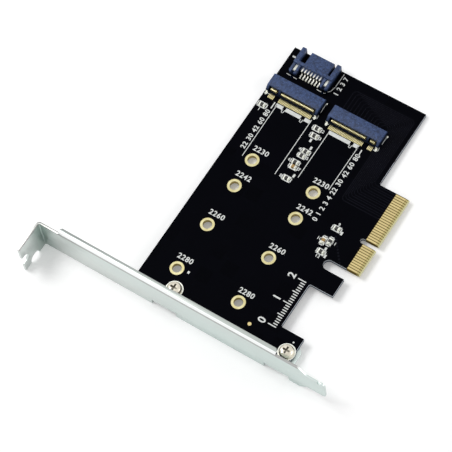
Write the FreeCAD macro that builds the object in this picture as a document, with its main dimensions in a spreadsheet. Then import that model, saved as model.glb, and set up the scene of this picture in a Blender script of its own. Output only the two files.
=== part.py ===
import FreeCAD, Part
import math
import os
import re
import Sketcher

# Adapter card for two plug-in drive modules, with its full-height slot bracket.
# X runs from the bracket to the rear edge and Y from the contact tips to the top edge. Z leaves
# the component face. The origin is the key notch's centre, at the contact tips on that face.

doc = FreeCAD.newDocument("adapter_card")
sheet = doc.addObject("Spreadsheet::Sheet", "Sizes")

# Every size of the card, in millimetres, in the groups that the sheet lists

BOARD = {
    "board_top": 68.9, "board_thick": 1.57, "board_gap": 0.5, "full_hole_inset": 13.24,
    "rear_edge": 12.65, "router_radius": 0.8,
}
TONGUE = {
    "tongue_margin": 0.65, "key_width": 1.9, "key_depth": 7.0, "bevel_length": 1.1,
    "bevel_depth": 0.4,
}
LOWER_EDGE = {
    "slot_width": 4.0, "slot_top": 13.6, "lug_width": 7.65, "lug_bottom": 4.0,
    "foot_width": 13.09, "recess_top": 13.55, "foot_bottom": 4.0,
}
FINGERS = {
    "finger_spacing": 1.0, "finger_width": 0.7, "finger_root": 5.3, "finger_tip": 1.3,
    "finger_key_step": 1.5, "near_finger_count": 11, "far_finger_count": 21, "plating": 0.05,
}
MODULE_HOLES = {
    "rear_beyond_edge": 17.6, "row_b_from_top": 11.4, "row_spacing": 26.05, "hole_bore": 3.5,
    "ring_width": 5.3, "ring_proud": 0.08, "reach_short": 30.0, "reach_middle": 42.0,
    "reach_long": 60.0, "reach_full": 80.0,
}
BRACKET = {
    "sheet_thick": 0.86, "face_reach": 57.2, "face_width": 18.42, "bracket_top": 14.0,
    "bracket_length": 120.02, "end_drop": 13.72, "tab_reach": 12.4, "bend_radius": 0.44,
    "edge_drop": 1.6, "lip_reach": 2.2, "lip_low": 6.0, "lip_from_tab": 9.3, "lip_corner": 0.7,
}
BRACKET_CUTS = {
    "end_width": 10.19, "end_length": 7.6, "end_round": 1.4, "tip_notch_from_end": 2.0,
    "tip_notch_width": 0.9, "tip_notch_depth": 1.5, "screw_slot_width": 4.42,
    "screw_slot_depth": 3.4, "screw_slot_height": 3.0, "relief_width": 5.0,
    "relief_depth": 3.0, "relief_from_end": 3.6,
}
LUGS_AND_SCREWS = {
    "screw_across": 7.2, "screw_low": 6.7, "screw_high": 53.8, "bracket_lug_width": 8.6,
    "bracket_lug_beyond": 4.2, "lug_round": 2.2, "lug_relief_width": 0.8, "lug_relief_rise": 0.6,
    "screw_shank": 2.9, "screw_fit": 0.05, "screw_board_fit": 0.2, "screw_head": 5.6,
    "screw_head_height": 1.9, "screw_rim": 0.6, "screw_shoulder": 0.45, "screw_crown": 1.5,
    "screw_beyond": 1.3, "screw_point": 0.4, "recess_arm": 2.8, "recess_bar": 0.75,
    "recess_depth": 1.1,
}
SOCKET = {
    "pin_count": 75, "pin_step": 0.25, "key_b_first_index": 12, "key_b_last_index": 19,
    "key_m_first_index_from_end": 16, "key_m_last_index_from_end": 9, "cheek_beyond": 1.7,
    "mouth_beyond": 0.8, "socket_height": 3.2, "socket_before": 3.5, "socket_behind": 3.9,
    "cover_before": 1.9, "rear_run": 0.8, "cover_thick": 0.3, "cover_lip": 0.6,
    "cover_lip_gap": 0.95, "rear_shoulder": 1.4, "cheek_height": 1.6, "sill_thick": 0.6,
    "sill_top": 1.0, "sill_bottom": 0.35, "trench_before": 0.8, "module_floor": 1.35,
    "module_stop_gap": 0.3, "block_top": 2.4, "block_behind": 2.9, "rib_width": 0.9,
    "rib_before": 3.2, "peg_behind": 1.0, "peg_beyond": 0.25, "peg_wide": 1.6,
    "peg_narrow": 1.1, "peg_length": 1.2, "peg_fit": 0.05,
}
SOCKET_CONTACTS = {
    "pin_width": 0.22, "pin_thick": 0.15, "pin_air": 0.15, "front_tail": 1.5,
    "beam_tip_height": 1.85, "beam_tip_before": 2.35, "rear_tail": 0.4,
    "top_beam_height": 2.75, "top_beam_length": 0.8, "top_beam_drop": 0.6,
    "anchor_width": 0.9, "anchor_foot": 1.0, "anchor_thick": 0.2, "anchor_height": 1.3,
}
DRIVE_SOCKET = {
    "drive_from_top": 12.15, "drive_inset": 0.1, "drive_width": 16.5, "drive_bay": 5.7,
    "drive_wall": 1.2, "drive_foot": 3.9, "drive_height": 4.0, "arm_thick": 1.6,
    "tongue_high": 3.0, "tongue_thick": 1.2, "tongue_left": 4.35, "tongue_right": 5.35,
    "tongue_leg": 1.2, "tongue_leg_drop": 1.2, "drive_foot_height": 3.0,
    "drive_foot_width": 3.2, "drive_foot_round": 0.9, "groove_width": 1.3,
    "groove_depth": 0.8, "ledge_reach": 1.1, "ledge_top": 2.3, "ledge_bottom": 0.5,
    "ledge_beyond": 1.1, "drive_spacing": 1.27, "drive_pin_count": 7, "drive_pin_width": 0.5,
    "drive_pin_thick": 0.2, "drive_pin_air": 0.35, "drive_tail": 1.65, "clip_width": 0.9,
    "clip_foot": 0.9,
}
CHIP_PARTS = {
    "chip_length": 2.0, "chip_width": 1.2, "chip_height": 0.7, "chip_cap": 0.4,
    "pad_thick": 0.04, "pad_over": 0.35, "pad_under": 0.5, "marker_width": 1.4,
    "marker_across": 9.6, "marker_y": 23.6,
}
SIZES = {
    "Board outline": BOARD,
    "Finger tongue and key notch": TONGUE,
    "Retention slot, lug, recess and foot": LOWER_EDGE,
    "Contact fingers": FINGERS,
    "Module hold-down holes": MODULE_HOLES,
    "Slot bracket": BRACKET,
    "Bracket end, screw slot and notches": BRACKET_CUTS,
    "Bracket lugs and screws": LUGS_AND_SCREWS,
    "Module socket housing": SOCKET,
    "Module socket contacts": SOCKET_CONTACTS,
    "Drive cable socket": DRIVE_SOCKET,
    "Chip parts and pads": CHIP_PARTS,
}

# Each chip part's distance before the modules' edge plane and below the board's top, and
# whether it lies along the board's Y
SOCKET_CHIPS = {
    "chip_1": (8.9, 2.3, True), "chip_2": (7.3, 25.0, True), "chip_3": (10.3, 25.7, True),
    "chip_4": (17.4, 26.4, True), "chip_5": (19.5, 26.0, True), "chip_6": (22.9, 25.4, True),
    "chip_7": (24.8, 25.7, True), "chip_8": (30.0, 26.1, True),
}
# Each chip part's distance before the key notch and above the finger tips
KEY_CHIPS = {
    "chip_9": (0.6, 16.6, True), "chip_10": (6.9, 18.3, False), "chip_11": (6.1, 16.0, False),
    "chip_12": (11.1, 16.7, True),
}
CHIPS = {**SOCKET_CHIPS, **KEY_CHIPS}


def fill_sheet():
    """Writes each size into a cell of its own and names the cell."""
    row = 1
    for heading, group in SIZES.items():
        sheet.set(f"A{row}", heading)
        for name, number in group.items():
            row += 1
            sheet.set(f"A{row}", name.replace("_", " "))
            sheet.set(f"B{row}", str(number))
            sheet.setAlias(f"B{row}", name)
        row += 2
    for name, (across, along, _) in CHIPS.items():
        for end, number in (("before", across), ("rise", along)):
            sheet.set(f"A{row}", f"{name} {end}".replace("_", " "))
            sheet.set(f"B{row}", str(number))
            sheet.setAlias(f"B{row}", f"{name}_{end}")
            row += 1
    doc.recompute()


fill_sheet()
ALIASES = {name for group in SIZES.values() for name in group}
ALIASES |= {f"{name}_{end}" for name in CHIPS for end in ("before", "rise")}


def linked(text):
    """Puts the sheet's name before each size named in a formula."""
    return re.sub(r"[a-z]\w*", lambda m: f"Sizes.{m[0]}" if m[0] in ALIASES else m[0], text)


def value(text):
    """The number that a formula gives now."""
    return float(sheet.evalExpression(linked(text)))


def tie(item, path, text):
    """Binds one property or constraint of an object to a formula of the sheet's sizes."""
    item.setExpression(path, linked(text))


# Places that several pieces share, as formulas of the sheet's sizes.
TONGUE_NEAR = "-(finger_key_step + (near_finger_count - 1) * finger_spacing + tongue_margin)"
TONGUE_FAR = "finger_key_step + (far_finger_count - 1) * finger_spacing + tongue_margin"
LUG_REAR = f"{TONGUE_NEAR} - slot_width"
LUG_FRONT = f"{LUG_REAR} - lug_width"
FACE_OUT = "-face_reach"
FACE_IN = "sheet_thick - face_reach"
BOARD_FRONT = f"{FACE_IN} + board_gap"
RECESS_FRONT = f"({BOARD_FRONT} + foot_width)"
MODULE_EDGE = f"({BOARD_FRONT} + full_hole_inset + reach_full)"
BOARD_REAR = f"({MODULE_EDGE} + rear_beyond_edge)"
PLATE_LOW = "bracket_top - face_width"
PLATE_HIGH = "bracket_top - edge_drop"
BRACKET_END = "-end_drop"
TAB_HEIGHT = "(bracket_length - end_drop)"
TAB_UNDER = f"({TAB_HEIGHT} - sheet_thick)"
LIP_HIGH = f"({TAB_HEIGHT} - lip_from_tab)"
TAB_END = f"{FACE_OUT} - tab_reach"
SCREW_X = f"{FACE_OUT} + screw_across"
LUG_LOW = "-board_thick - sheet_thick"

# The drive socket's planes, from its mouth backwards
WALL_FRONT = "-drive_bay"
WALL_REAR = f"({WALL_FRONT} - drive_wall)"
FOOT_REAR = f"({WALL_REAR} - drive_foot)"

# Hold-down holes by module length, and the sockets' rows
HOLES = {
    "2230": f"{MODULE_EDGE} - reach_short", "2242": f"{MODULE_EDGE} - reach_middle",
    "2260": f"{MODULE_EDGE} - reach_long", "2280": f"{MODULE_EDGE} - reach_full",
}
ROWS = {"b": "board_top - row_b_from_top", "m": "board_top - row_b_from_top - row_spacing"}
PIN_SPAN = "(pin_count - 1) * pin_step"
SOCKET_WIDTH = f"({PIN_SPAN} + 2 * cheek_beyond)"
MOUTH_WIDTH = f"({PIN_SPAN} + 2 * mouth_beyond)"
PEG_Y = f"({PIN_SPAN} / 2 + peg_beyond)"

# First and last position that each socket's key takes from the contact rows
LAST_PIN = int(value("pin_count"))
KEYS = {
    "b": (int(value("key_b_first_index")), int(value("key_b_last_index"))),
    "m": (LAST_PIN - int(value("key_m_first_index_from_end")),
          LAST_PIN - int(value("key_m_last_index_from_end"))),
}

made = []


# Modelling steps

def new_body(label):
    """A named body that may hold several separate solids."""
    body = doc.addObject("PartDesign::Body", label)
    body.Label = label
    body.AllowCompound = True
    made.append(body)
    return body


def new_sketch(body, name, plane, offset="0"):
    """A sketch on one of the body's own planes, moved along that plane's normal."""
    support = next(part for part in body.Origin.OriginFeatures if part.Role == plane)
    sketch = body.newObject("Sketcher::SketchObject", name)
    sketch.AttachmentSupport = [(support, "")]
    sketch.MapMode = "FlatFace"
    tie(sketch, "AttachmentOffset.Base.z", offset)
    return sketch


def pin_point(sketch, geometry, position, place, axes="XY"):
    """Ties one point of a sketch to the sketch's origin."""
    for axis, text in zip("XY", place):
        if axis in axes:
            index = sketch.addConstraint(
                Sketcher.Constraint(f"Distance{axis}", -1, 1, geometry, position, value(text)))
            tie(sketch, f"Constraints[{index}]", text)


def draw_outline(sketch, corners):
    """Draws a closed outline and ties each of its corners."""
    spots = [FreeCAD.Vector(value(x), value(y), 0) for x, y in corners]
    first = sketch.GeometryCount
    count = len(spots)
    for index in range(count):
        sketch.addGeometry(Part.LineSegment(spots[index], spots[(index + 1) % count]), False)
    for index in range(count):
        following = first + (index + 1) % count
        sketch.addConstraint(Sketcher.Constraint("Coincident", first + index, 2, following, 1))
    for index, corner in enumerate(corners):
        pin_point(sketch, first + index, 1, corner)


def draw_rectangle(sketch, low, high):
    """Draws an upright rectangle between two opposite corners."""
    draw_outline(sketch, [low, (high[0], low[1]), high, (low[0], high[1])])


def draw_circle(sketch, centre, width):
    """Draws a circle and ties its centre and diameter."""
    spot = FreeCAD.Vector(value(centre[0]), value(centre[1]), 0)
    round_edge = Part.Circle(spot, FreeCAD.Vector(0, 0, 1), value(width) / 2)
    index = sketch.addGeometry(round_edge, False)
    size = sketch.addConstraint(Sketcher.Constraint("Diameter", index, value(width)))
    tie(sketch, f"Constraints[{size}]", width)
    pin_point(sketch, index, 3, centre)


def draw_hexagon(sketch, centre, width):
    """Draws a regular hexagon with a corner on each side along X."""
    draw_outline(sketch, [
        (f"{centre[0]} + {width} / 2 * cos({angle})", f"{centre[1]} + {width} / 2 * sin({angle})")
        for angle in range(0, 360, 60)])


def draw_notch(sketch, low, high, mouth, centre, along_x=False):
    """Draws a slot with a round end, open at its mouth, along the sketch's Y or X."""
    inward = value(centre) > value(mouth)
    start, stop = (low, high) if inward == along_x else (high, low)
    facing = (0 if along_x else math.pi / 2) + (0 if inward else math.pi)

    def place(across, along):
        return (along, across) if along_x else (across, along)

    def spot(across, along):
        x, y = place(across, along)
        return FreeCAD.Vector(value(x), value(y), 0)

    middle = f"({low} + {high}) / 2"
    crown = Part.Circle(spot(middle, centre), FreeCAD.Vector(0, 0, 1),
                        (value(high) - value(low)) / 2)
    shut = sketch.addGeometry(Part.LineSegment(spot(stop, mouth), spot(start, mouth)), False)
    near = sketch.addGeometry(Part.LineSegment(spot(start, mouth), spot(start, centre)), False)
    bend = sketch.addGeometry(
        Part.ArcOfCircle(crown, facing - math.pi / 2, facing + math.pi / 2), False)
    far = sketch.addGeometry(Part.LineSegment(spot(stop, centre), spot(stop, mouth)), False)
    for one, other in ((shut, near), (near, bend), (bend, far), (far, shut)):
        sketch.addConstraint(Sketcher.Constraint("Coincident", one, 2, other, 1))
    pin_point(sketch, near, 1, place(start, mouth))
    pin_point(sketch, near, 2, place(start, centre))
    pin_point(sketch, far, 1, place(stop, centre))
    pin_point(sketch, far, 2, place(stop, mouth))
    pin_point(sketch, bend, 3, place(middle, centre), "X" if along_x else "Y")


def pad(body, name, sketch, length, backwards=False):
    """Raises a sketch into solid."""
    feature = body.newObject("PartDesign::Pad", name)
    feature.Profile = sketch
    feature.Reversed = backwards
    tie(feature, "Length", length)
    return settle(body, feature)


def pocket(body, name, sketch, length, backwards=False):
    """Cuts a sketch out of the body, and makes sure that it took something away."""
    before = body.Shape.Volume
    feature = body.newObject("PartDesign::Pocket", name)
    feature.Profile = sketch
    feature.Reversed = backwards
    tie(feature, "Length", length)
    settle(body, feature)
    if not body.Shape.Volume < before:
        raise ValueError(f"{name} cuts nothing from {body.Label}")
    return feature


def turn(body, name, sketch):
    """Turns a sketch about its upright axis into solid."""
    feature = body.newObject("PartDesign::Revolution", name)
    feature.Profile = sketch
    feature.ReferenceAxis = (sketch, ["V_Axis"])
    feature.Angle = 360
    return settle(body, feature)


def repeat(body, name, feature, axis, pitch, count):
    """Repeats a feature along one of the body's axes."""
    pattern = body.newObject("PartDesign::LinearPattern", name)
    pattern.Originals = [feature]
    direction = next(part for part in body.Origin.OriginFeatures if part.Role == axis)
    pattern.Direction = (direction, [""])
    tie(pattern, "Length", f"{pitch} * ({count} - 1)")
    tie(pattern, "Occurrences", count)
    return settle(body, pattern)


def dress(body, name, kind, prop, length, chosen):
    """Fillets or chamfers the edges that a test picks."""
    base = body.Tip
    edges = [f"Edge{number}" for number, edge in enumerate(base.Shape.Edges, 1) if chosen(edge)]
    if not edges:
        raise ValueError(f"{name} finds no edge on {body.Label}")
    feature = body.newObject(f"PartDesign::{kind}", name)
    feature.Base = (base, edges)
    tie(feature, prop, length)
    return settle(body, feature)


def settle(body, feature):
    """Makes a feature the body's last one and recomputes."""
    body.Tip = feature
    doc.recompute()
    return feature


def upright_at(*places):
    """Picks straight edges along Z that stand at one of the places."""
    spots = [(value(x), value(y)) for x, y in places]
    return lambda edge: runs_along(edge, 2) and any(
        close(edge.CenterOfMass.x, x) and close(edge.CenterOfMass.y, y) for x, y in spots)


def lengthways_at(*places):
    """Picks straight edges along Y that lie at one of the places in X and Z."""
    spots = [(value(x), value(z)) for x, z in places]
    return lambda edge: runs_along(edge, 1) and any(
        close(edge.CenterOfMass.x, x) and close(edge.CenterOfMass.z, z) for x, z in spots)


def across_at(*places):
    """Picks straight edges along X that lie at one of the places in Y and Z."""
    spots = [(value(y), value(z)) for y, z in places]
    return lambda edge: runs_along(edge, 0) and any(
        close(edge.CenterOfMass.y, y) and close(edge.CenterOfMass.z, z) for y, z in spots)


def runs_along(edge, axis):
    """Whether an edge is straight and runs along one of the three axes."""
    if not isinstance(edge.Curve, Part.Line):
        return False
    return close(abs(edge.Curve.Direction[axis]), 1)


def close(one, other):
    """Whether two lengths agree within the modelling tolerance."""
    return abs(one - other) < 1e-4


def place_at(body, x="0", y="0", z="0"):
    """Moves a finished body to its place."""
    for axis, text in zip("xyz", (x, y, z)):
        tie(body, f"Placement.Base.{axis}", text)


# Board and its plating

def make_board():
    """The laminate, with its tongue, notches, recess and every hole."""
    board = new_body("circuit_board")
    outline = new_sketch(board, "board_outline", "XY_Plane", "-board_thick")
    draw_outline(outline, [
        (BOARD_FRONT, "foot_bottom"), (RECESS_FRONT, "foot_bottom"),
        (RECESS_FRONT, "recess_top"), (LUG_FRONT, "recess_top"),
        (LUG_FRONT, "lug_bottom"), (TONGUE_NEAR, "lug_bottom"), (TONGUE_NEAR, "0"),
        (TONGUE_FAR, "0"), (TONGUE_FAR, "rear_edge"), (BOARD_REAR, "rear_edge"),
        (BOARD_REAR, "board_top"), (BOARD_FRONT, "board_top"),
    ])
    pad(board, "laminate", outline, "board_thick")
    dress(board, "routed_corners", "Fillet", "Radius", "router_radius", upright_at(
        (RECESS_FRONT, "recess_top"), (LUG_FRONT, "recess_top"), (TONGUE_FAR, "rear_edge")))

    slot = new_sketch(board, "retention_slot_outline", "XY_Plane")
    draw_notch(slot, LUG_REAR, TONGUE_NEAR, "lug_bottom", "slot_top - slot_width / 2")
    pocket(board, "retention_slot", slot, "board_thick")

    key = new_sketch(board, "key_outline", "XY_Plane")
    draw_notch(key, "-key_width / 2", "key_width / 2", "0", "key_depth - key_width / 2")
    pocket(board, "key_notch", key, "board_thick")

    bevel = new_sketch(board, "bevel_outline", "YZ_Plane", TONGUE_FAR)
    draw_outline(bevel, [("0", "0"), ("bevel_length", "0"), ("0", "-bevel_depth")])
    draw_outline(bevel, [
        ("0", "-board_thick"), ("0", "bevel_depth - board_thick"),
        ("bevel_length", "-board_thick")])
    pocket(board, "tip_bevel", bevel, f"{TONGUE_FAR} - ({TONGUE_NEAR})")

    holes = new_sketch(board, "hole_outlines", "XY_Plane")
    for hole_x in HOLES.values():
        for row_y in ROWS.values():
            draw_circle(holes, (hole_x, row_y), "ring_width")
    for screw_y in ("screw_low", "screw_high"):
        draw_circle(holes, (SCREW_X, screw_y), "screw_shank + 2 * screw_board_fit")
    for row_y in ROWS.values():
        peg_x = f"{MODULE_EDGE} + peg_behind"
        draw_circle(holes, (peg_x, f"{row_y} + {PEG_Y}"), "peg_wide + 2 * peg_fit")
        draw_circle(holes, (peg_x, f"{row_y} - {PEG_Y}"), "peg_narrow + 2 * peg_fit")
    pocket(board, "drilled_holes", holes, "board_thick")


def make_fingers(label, height):
    """One face's row of plated contact fingers, in two groups beside the key notch."""
    fingers = new_body(label)
    groups = {
        "near": ("-(finger_key_step + (near_finger_count - 1) * finger_spacing)", "near_finger_count"),
        "far": ("finger_key_step", "far_finger_count"),
    }
    for side, (first, count) in groups.items():
        outline = new_sketch(fingers, f"{side}_finger_outline", "XY_Plane", height)
        draw_rectangle(
            outline, (f"{first} - finger_width / 2", "finger_tip"),
            (f"{first} + finger_width / 2", "finger_root"))
        finger = pad(fingers, f"{side}_finger", outline, "plating")
        repeat(fingers, f"{side}_fingers", finger, "X_Axis", "finger_spacing", count)


def make_hole_ring(label, hole_x, row_y):
    """A gold collar through the board, a little proud of each face."""
    ring = new_body(label)
    section = new_sketch(ring, f"{label}_section", "XZ_Plane")
    draw_rectangle(section, ("hole_bore / 2", "-board_thick - ring_proud"),
                   ("ring_width / 2", "ring_proud"))
    turn(ring, f"{label}_turned", section)
    place_at(ring, hole_x, row_y)


# Slot bracket and its screws

def make_bracket():
    """One folded sheet: face, top tab, stiffening lip, two lugs and a tapered end."""
    bracket = new_body("slot_bracket")
    outer_bend = "bend_radius + sheet_thick"

    fold = new_sketch(bracket, "face_and_tab_section", "XY_Plane", PLATE_LOW)
    draw_outline(fold, [
        (FACE_OUT, BRACKET_END), (FACE_IN, BRACKET_END), (FACE_IN, TAB_HEIGHT),
        (TAB_END, TAB_HEIGHT), (TAB_END, TAB_UNDER),
        (FACE_OUT, TAB_UNDER)])
    pad(bracket, "face_and_tab", fold, f"{PLATE_HIGH} - ({PLATE_LOW})")
    dress(bracket, "tab_bend_outside", "Fillet", "Radius", outer_bend,
          upright_at((FACE_IN, TAB_HEIGHT)))
    dress(bracket, "tab_bend_inside", "Fillet", "Radius", "bend_radius",
          upright_at((FACE_OUT, TAB_UNDER)))

    lip = new_sketch(bracket, "lip_section", "XZ_Plane", f"-{LIP_HIGH}")
    lip_edge = f"{FACE_OUT} + lip_reach"
    draw_outline(lip, [
        (FACE_OUT, PLATE_HIGH), (FACE_IN, PLATE_HIGH), (FACE_IN, "bracket_top - sheet_thick"),
        (lip_edge, "bracket_top - sheet_thick"), (lip_edge, "bracket_top"),
        (FACE_OUT, "bracket_top")])
    pad(bracket, "lip", lip, f"{LIP_HIGH} - lip_low")
    dress(bracket, "lip_bend_outside", "Fillet", "Radius", outer_bend,
          lengthways_at((FACE_OUT, "bracket_top")))
    dress(bracket, "lip_bend_inside", "Fillet", "Radius", "bend_radius",
          lengthways_at((FACE_IN, "bracket_top - sheet_thick")))
    dress(bracket, "lip_corners", "Chamfer", "Size", "lip_corner",
          upright_at((lip_edge, "lip_low"), (lip_edge, LIP_HIGH)))

    lug_tip = f"{SCREW_X} + bracket_lug_beyond"
    for name, screw_y in (("low", "screw_low"), ("high", "screw_high")):
        start = f"{screw_y} - bracket_lug_width / 2"
        stop = f"{screw_y} + bracket_lug_width / 2"
        lug = new_sketch(bracket, f"{name}_lug_section", "XZ_Plane", f"-({stop})")
        draw_rectangle(lug, (FACE_IN, LUG_LOW), (lug_tip, "-board_thick"))
        pad(bracket, f"{name}_lug", lug, "bracket_lug_width")
        relief = new_sketch(bracket, f"{name}_lug_relief_outline", "YZ_Plane", FACE_IN)
        rise = "lug_relief_rise - board_thick"
        draw_outline(relief, [
            (f"{start} - lug_relief_width", PLATE_LOW), (f"{start} - lug_relief_width", rise),
            (start, rise), (start, LUG_LOW), (stop, LUG_LOW), (stop, rise),
            (f"{stop} + lug_relief_width", rise), (f"{stop} + lug_relief_width", PLATE_LOW)])
        pocket(bracket, f"{name}_lug_relief", relief, "sheet_thick")
        dress(bracket, f"{name}_lug_bend_outside", "Fillet", "Radius", outer_bend,
              lug_edge(FACE_OUT, LUG_LOW, screw_y))
        dress(bracket, f"{name}_lug_bend_inside", "Fillet", "Radius", "bend_radius",
              lug_edge(FACE_IN, "-board_thick", screw_y))
        dress(bracket, f"{name}_lug_corners", "Fillet", "Radius", "lug_round",
              upright_at((lug_tip, start), (lug_tip, stop)))

    taps = new_sketch(bracket, "tapped_hole_outlines", "XY_Plane", "-board_thick")
    for screw_y in ("screw_low", "screw_high"):
        draw_circle(taps, (SCREW_X, screw_y), "screw_shank + 2 * screw_fit")
    pocket(bracket, "tapped_holes", taps, "sheet_thick")

    cut_bracket_end(bracket)
    cut_bracket_tab(bracket)


def lug_edge(edge_x, edge_z, screw_y):
    """Picks the bend line of the lug at one screw."""
    straight = lengthways_at((edge_x, edge_z))
    middle = value(screw_y)
    reach = value("bracket_lug_width")
    return lambda edge: straight(edge) and abs(edge.CenterOfMass.y - middle) < reach


def cut_bracket_end(bracket):
    """Tapers the lower end, rounds its corners and cuts a small notch in one edge."""
    end_low = f"({PLATE_LOW} + {PLATE_HIGH}) / 2 - end_width / 2"
    end_high = f"({PLATE_LOW} + {PLATE_HIGH}) / 2 + end_width / 2"
    taper_stop = f"{BRACKET_END} + end_length"
    taper_start = f"{taper_stop} + ({PLATE_HIGH} - ({end_high}))"
    taper = new_sketch(bracket, "end_taper_outline", "YZ_Plane", FACE_IN)
    for outer, inner in ((PLATE_LOW, end_low), (PLATE_HIGH, end_high)):
        draw_outline(taper, [
            (taper_start, outer), (taper_stop, inner), (BRACKET_END, inner),
            (BRACKET_END, outer)])
    pocket(bracket, "end_taper", taper, "sheet_thick")
    dress(bracket, "end_corners", "Fillet", "Radius", "end_round",
          across_at((BRACKET_END, end_low), (BRACKET_END, end_high)))

    notch = new_sketch(bracket, "tip_notch_outline", "YZ_Plane", FACE_IN)
    near = f"{BRACKET_END} + tip_notch_from_end"
    far = f"{near} + tip_notch_width"
    draw_notch(notch, near, far, end_high, f"{end_high} - tip_notch_depth + tip_notch_width / 2")
    pocket(bracket, "tip_notch", notch, "sheet_thick")


def cut_bracket_tab(bracket):
    """Cuts the screw slot and the relief notch beside it through the top tab."""
    openings = new_sketch(bracket, "tab_opening_outlines", "XZ_Plane", f"-{TAB_HEIGHT}")
    half = "screw_slot_width / 2"
    draw_notch(openings, f"screw_slot_height - {half}", f"screw_slot_height + {half}", TAB_END,
               f"{TAB_END} + screw_slot_depth - {half}", along_x=True)
    prong = f"{TAB_END} + relief_from_end"
    draw_notch(openings, prong, f"{prong} + relief_width", PLATE_LOW,
               f"{PLATE_LOW} + relief_depth - relief_width / 2")
    pocket(bracket, "tab_openings", openings, "sheet_thick", backwards=True)


def make_screw(label, screw_y):
    """A pan-head screw with a cross recess, seated on the board and through a bracket lug."""
    screw = new_body(label)
    section = new_sketch(screw, f"{label}_section", "XZ_Plane")
    point = "-board_thick - sheet_thick - screw_beyond"
    draw_outline(section, [
        ("0", "screw_head_height"), ("screw_crown", "screw_head_height"),
        ("screw_head / 2 - screw_shoulder", "screw_head_height - screw_shoulder"),
        ("screw_head / 2", "screw_rim"), ("screw_head / 2", "0"), ("screw_shank / 2", "0"),
        ("screw_shank / 2", f"{point} + screw_point"),
        ("screw_shank / 2 - screw_point", point), ("0", point)])
    turn(screw, f"{label}_turned", section)

    cross = new_sketch(screw, f"{label}_cross_outline", "XY_Plane", "screw_head_height")
    arm, bar = "recess_arm / 2", "recess_bar / 2"
    draw_outline(cross, [
        (arm, f"-{bar}"), (arm, bar), (bar, bar), (bar, arm), (f"-{bar}", arm),
        (f"-{bar}", bar), (f"-{arm}", bar), (f"-{arm}", f"-{bar}"), (f"-{bar}", f"-{bar}"),
        (f"-{bar}", f"-{arm}"), (bar, f"-{arm}"), (bar, f"-{bar}")])
    pocket(screw, f"{label}_cross", cross, "recess_depth")
    place_at(screw, SCREW_X, screw_y)


# Module sockets

def pin_place(number):
    """How far a numbered position lies from the socket's middle."""
    return f"{PIN_SPAN} / 2 - {number - 1} * pin_step"


def make_socket_housing(row):
    """The moulding: two cheeks, a cover, a sill, a middle block, the key rib and two six-sided pegs."""
    label = f"socket_{row}_housing"
    housing = new_body(label)
    cover_rear = "socket_behind - rear_run"
    side = new_sketch(housing, f"{label}_side", "XZ_Plane", f"-{SOCKET_WIDTH} / 2")
    draw_outline(side, [
        ("-socket_before", "0"), ("socket_behind", "0"), ("socket_behind", "rear_shoulder"),
        (cover_rear, "socket_height"), ("-cover_before", "socket_height"),
        ("-socket_before", "cheek_height")])
    pad(housing, f"{label}_block", side, SOCKET_WIDTH)

    mouth = new_sketch(housing, f"{label}_mouth_section", "XZ_Plane", f"-{MOUTH_WIDTH} / 2")
    sill_rear = "sill_thick - socket_before"
    lip_rear = "cover_lip - cover_before"
    lip_low = "module_floor + cover_lip_gap"
    ceiling = "socket_height - cover_thick"
    draw_outline(mouth, [
        ("-socket_before", "sill_top"), (sill_rear, "sill_top"), (sill_rear, "sill_bottom"),
        ("-socket_before", "sill_bottom"), ("-socket_before", "0"), ("-trench_before", "0"),
        ("-trench_before", "module_floor"), ("module_stop_gap", "module_floor"),
        ("module_stop_gap", "block_top"), ("block_behind", "block_top"), ("block_behind", "0"),
        ("socket_behind", "0"), ("socket_behind", ceiling), (lip_rear, ceiling),
        (lip_rear, lip_low), ("-cover_before", lip_low), ("-cover_before", "socket_height"),
        ("-socket_before", "socket_height")])
    pocket(housing, f"{label}_mouth", mouth, MOUTH_WIDTH, backwards=True)

    first, last = KEYS[row]
    middle = pin_place((first + last) / 2)
    rib = new_sketch(housing, f"{label}_rib_section", "XZ_Plane", f"-({middle} + rib_width / 2)")
    draw_outline(rib, [
        ("-rib_before", "0"), ("block_behind", "0"), ("block_behind", ceiling),
        (lip_rear, ceiling), (lip_rear, lip_low), ("-cover_before", lip_low),
        ("-rib_before", "sill_top")])
    pad(housing, f"{label}_rib", rib, "rib_width")

    pegs = new_sketch(housing, f"{label}_peg_outlines", "XY_Plane")
    draw_hexagon(pegs, ("peg_behind", PEG_Y), "peg_wide")
    draw_hexagon(pegs, ("peg_behind", f"-{PEG_Y}"), "peg_narrow")
    pad(housing, f"{label}_pegs", pegs, "peg_length", True)
    place_at(housing, MODULE_EDGE, ROWS[row])


def make_contact_row(row, label, section, even):
    """Every second contact of a socket, in the two groups that its key leaves."""
    contacts = new_body(label)
    first, last = KEYS[row]
    places = [number for number in range(1, LAST_PIN + 1) if (number % 2 == 0) == even]
    below = [number for number in places if number < first]
    above = [number for number in places if number > last]
    for side, numbers in (("low", below), ("high", above)):
        outline = new_sketch(contacts, f"{label}_{side}_section", "XZ_Plane",
                             f"-({pin_place(numbers[-1])} + pin_width / 2)")
        draw_outline(outline, section)
        contact = pad(contacts, f"{label}_{side}", outline, "pin_width")
        repeat(contacts, f"{label}_{side}_row", contact, "Y_Axis", "2 * pin_step",
               str(len(numbers)))
    place_at(contacts, MODULE_EDGE, ROWS[row])


def front_contact_section():
    """A strip that leaves the tail along the board and folds back up to the module."""
    tail = "-socket_before - front_tail"
    back = "-trench_before - pin_air"
    return [
        (tail, "0"), (back, "0"), ("-beam_tip_before", "beam_tip_height"),
        ("-beam_tip_before - pin_thick", "beam_tip_height - pin_thick"),
        (f"{back} - 2 * pin_thick", "pin_thick"), (tail, "pin_thick")]


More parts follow.
